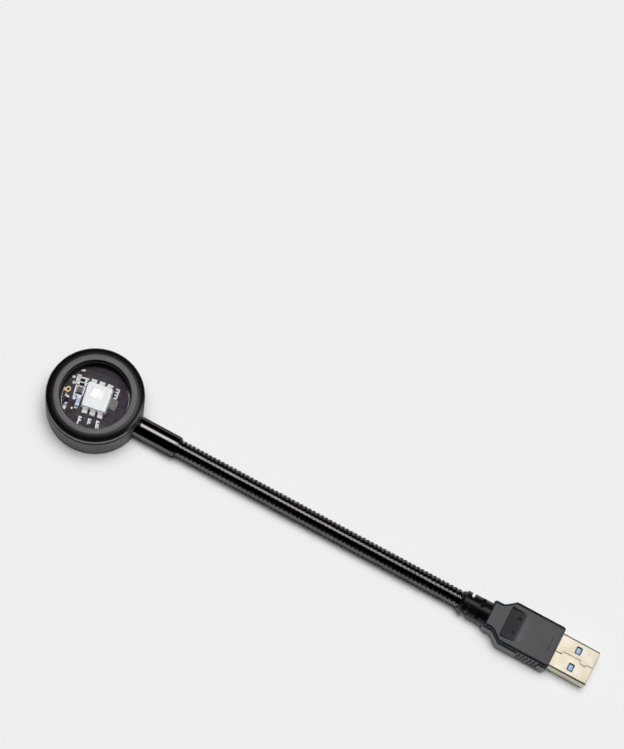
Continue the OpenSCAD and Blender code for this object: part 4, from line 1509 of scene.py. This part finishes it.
    def build_tongue(self) -> None:
        """The insulator: a block, the tongue with the contacts, and a boss in each upper window."""
        low, high = box_mm("usb_tongue")
        tip, roof = box_mm("usb_shell")[1].x, high.z
        width, step_x, sunk = high.y - low.y, tip - self.tongue_block, self.tongue_sunk
        blade_z = roof - self.tongue_t
        parts = [brick((step_x - low.x, width, high.z - low.z),
                       ((low.x + step_x) / 2, 0, low.z), 0.1),
                 brick((high.x - step_x + 0.2, width, self.tongue_t - sunk),
                       ((high.x + step_x - 0.2) / 2, 0, blade_z), 0.1)]
        for side in (-1, 1):
            boss = (self.window[0] - self.boss_gap, self.window[1] - self.boss_gap, sunk + 0.1)
            foot = (tip - self.window_back, side * self.window_y, roof - sunk - 0.1)
            parts.append(brick(boss, foot, 0.12))
        tongue = new_object("plug_tongue", *merged(parts), TONGUE_PBT)
        tongue.data.materials.append(SHADED_PBT.material())
        for face in tongue.data.polygons:
            if face.normal.z > 0.9 and abs(face.center.z / MM - roof + sunk) < 0.1:
                face.material_index = 1
        settle(tongue, "plug", "usb_tongue", "usb_tongue")

    def engrave_seam(self, shell: Piece, tip: float, top: float) -> None:
        """Cuts the line where the folded sheet meets itself, with its dovetail.

        Args:
            shell: the metal shell.
            tip: the place of its mouth along X.
            top: the height of its upper side.
        """
        route, left, right = self.seam_route, [], []
        for i, (x, y) in enumerate(route):
            back = Vector(route[max(i - 1, 0)])
            ahead = Vector(route[min(i + 1, len(route) - 1)])
            along = (ahead - back).normalized()
            side = Vector((-along.y, along.x)) * self.seam_w / 2
            left.append((tip + x + side.x, y + side.y))
            right.append((tip + x - side.x, y - side.y))
        outline = left + right[::-1]
        cut(shell, [[(x, y, z) for x, y in outline] for z in (top - self.seam_depth, top + 0.5)],
            SHELL_NICKEL)


def cut(piece: Piece, rings: Sequence[Sequence[Point3]], finish: Finish) -> None:
    """Takes a lofted solid out of a piece.

    Args:
        piece: the piece to cut.
        rings: the rings that the solid is lofted through.
        finish: what the cut faces are made of.
    """
    tool = new_object("cutter", *loft(rings), finish)
    change = piece.modifiers.new("cut", "BOOLEAN")
    change.operation, change.object, change.solver = "DIFFERENCE", tool, "EXACT"
    apply_modifiers(piece)
    bpy.data.objects.remove(tool)


def soften(piece: Piece, width: float, angle_deg: float) -> None:
    """Rounds the edges that turn more than an angle.

    Args:
        piece: the piece to round.
        width: the rounding's width, in millimetres.
        angle_deg: edges that turn less than this stay as they are.
    """
    change = piece.modifiers.new("soften", "BEVEL")
    change.width, change.segments = width * MM, 2
    change.limit_method, change.angle_limit = "ANGLE", math.radians(angle_deg)
    apply_modifiers(piece)
    piece.data.shade_smooth()
    piece.data.set_sharp_from_angle(angle=math.radians(40))
    even = piece.modifiers.new("even", "WEIGHTED_NORMAL")
    even.keep_sharp, even.weight = True, 90
    apply_modifiers(piece)


def apply_modifiers(piece: Piece) -> None:
    """Replaces a piece's mesh by what its modifiers make of it.

    Args:
        piece: the piece, whose modifiers are used up.
    """
    graph = bpy.context.evaluated_depsgraph_get()
    made = bpy.data.meshes.new_from_object(piece.evaluated_get(graph), depsgraph=graph)
    piece.modifiers.clear()
    piece.data = made


# ------------------------------------------------------------------ stage


@dataclass(frozen=True)
class Softbox:
    """A bright panel that faces the lamp and shows in its gloss only."""

    name: str
    elevation_deg: float
    heading_deg: float
    distance: float
    width: float
    height: float
    radiance: float


def heading(elevation_deg: float, heading_deg: float) -> Vector:
    """The direction at a height over the horizon and a turn from +X towards +Y.

    Args:
        elevation_deg: height over the horizon.
        heading_deg: turn from +X towards +Y.

    Returns:
        A vector one long.
    """
    up, turn = math.radians(elevation_deg), math.radians(heading_deg)
    return Vector((math.cos(turn) * math.cos(up), math.sin(turn) * math.cos(up), math.sin(up)))


@dataclass(frozen=True)
class Studio:
    """Pale floor, soft light from above and the far side, and the camera."""

    camera_at: Point3 = (22.1, -191.0, 672.7)
    camera_deg: Point3 = (18.859, -5.722, 27.747)
    lens_mm: float = 125.9
    sensor_mm: float = 36.0
    clip: Point2 = (0.01, 10.0)
    floor_side: float = 60000.0
    floor_colour: str = "f0f0f0"
    softboxes: tuple[Softbox, ...] = (
        Softbox("key_head", 71.7, 122.0, 4000.0, 1250.0, 1900.0, 5.0),
        Softbox("key_plug", 73.0, 68.0, 4000.0, 1250.0, 1400.0, 2.1),
        Softbox("card", 24.0, 18.0, 1500.0, 1500.0, 850.0, 2.3))
    light_colour: str = "fffdfb"
    wall_colour: str = "efefef"
    fill: float = 0.99
    fill_focus: float = 24.0
    fill_tilt_deg: float = 5.0
    fill_heading_deg: float = 73.0

    def build(self) -> None:
        """Builds the floor, the lights and the camera."""
        self.build_floor()
        self.build_lights()
        self.build_camera()

    def build_floor(self) -> None:
        """A plain pale board under the lamp."""
        half = self.floor_side / 2
        points = [(-half, -half, 0.0), (half, -half, 0.0), (half, half, 0.0), (-half, half, 0.0)]
        floor = new_object("floor", [(x, y, z - 0.02) for x, y, z in points], [(0, 1, 2, 3)],
                           Finish("paper_matt_pale", self.floor_colour, self.floor_colour, 0.95,
                                  Surface.SANDED, patch_mm=400.0, grain_mm=2.0, relief_mm=0.001,
                                  roughness_spread=0.02, ior=1.0))

    def place_softbox(self, box: Softbox) -> None:
        """Hangs a softbox, its width along X as near as its aim allows.

        Args:
            box: the panel's place, size and brightness.
        """
        toward = heading(box.elevation_deg, box.heading_deg)
        light = bpy.data.lights.new(box.name, "AREA")
        light.shape, light.size, light.size_y = "RECTANGLE", box.width * MM, box.height * MM
        light.energy = box.radiance * math.pi * light.size * light.size_y
        light.color = linear(self.light_colour)[:3]
        lamp = bpy.data.objects.new(box.name, light)
        lamp.location = toward * box.distance * MM
        side = Vector((0.0, 1.0, 0.0)).cross(toward).normalized()
        lamp.rotation_euler = Matrix((side, toward.cross(side), toward)).transposed().to_euler()
        lamp.visible_camera = lamp.visible_diffuse = lamp.visible_transmission = False
        bpy.context.scene.collection.objects.link(lamp)

    def build_lights(self) -> None:
        """Softboxes that the gloss mirrors, and a fill from overhead for the matt surfaces."""
        for box in self.softboxes:
            self.place_softbox(box)
        world = bpy.data.worlds.new("fill")
        bpy.context.scene.world = world
        world.use_nodes = True
        tree = world.node_tree
        tree.nodes.clear()
        direction = add_node(tree, "TexCoord").outputs["Generated"]
        middle = heading(90 - self.fill_tilt_deg, self.fill_heading_deg)
        strength = add_node(tree, "VectorMath", {0: direction, 1: middle},
                            operation="DOT_PRODUCT").outputs["Value"]
        for step, value in (("MAXIMUM", 0.0), ("POWER", self.fill_focus),
                            ("MULTIPLY", self.fill * (self.fill_focus + 2) / 2)):
            strength = add_node(tree, "Math", {0: strength, 1: value},
                                operation=step).outputs["Value"]
        sky = add_node(tree, "Background", {"Color": linear("ffffff"), "Strength": strength})
        wall = add_node(tree, "Background", {"Color": linear(self.wall_colour)})
        seen = add_node(tree, "LightPath").outputs["Is Camera Ray"]
        both = add_node(tree, "MixShader", {
            0: seen, 1: sky.outputs["Background"], 2: wall.outputs["Background"]})
        add_node(tree, "OutputWorld", {"Surface": both.outputs["Shader"]})
        world.cycles_visibility.glossy = False
        world.cycles_visibility.transmission = False

    def build_camera(self) -> None:
        """The camera at the photograph's angle."""
        lens = bpy.data.cameras.new("camera")
        lens.lens, lens.sensor_width, lens.sensor_fit = self.lens_mm, self.sensor_mm, "HORIZONTAL"
        lens.clip_start, lens.clip_end = self.clip
        camera = bpy.data.objects.new("camera", lens)
        camera.location = Vector(self.camera_at) * MM
        camera.rotation_euler = [math.radians(a) for a in self.camera_deg]
        bpy.context.scene.collection.objects.link(camera)
        bpy.context.scene.camera = camera


def main() -> None:
    """Builds the studio and the lamp's sub-assemblies in order."""
    logging.basicConfig(level=logging.INFO, format="%(name)s: %(message)s")
    bpy.context.scene.view_settings.view_transform = "Standard"
    Studio().build()
    LampHead().build()
    Gooseneck().build()
    Plug().build()


if __name__ == "__main__":
    main()
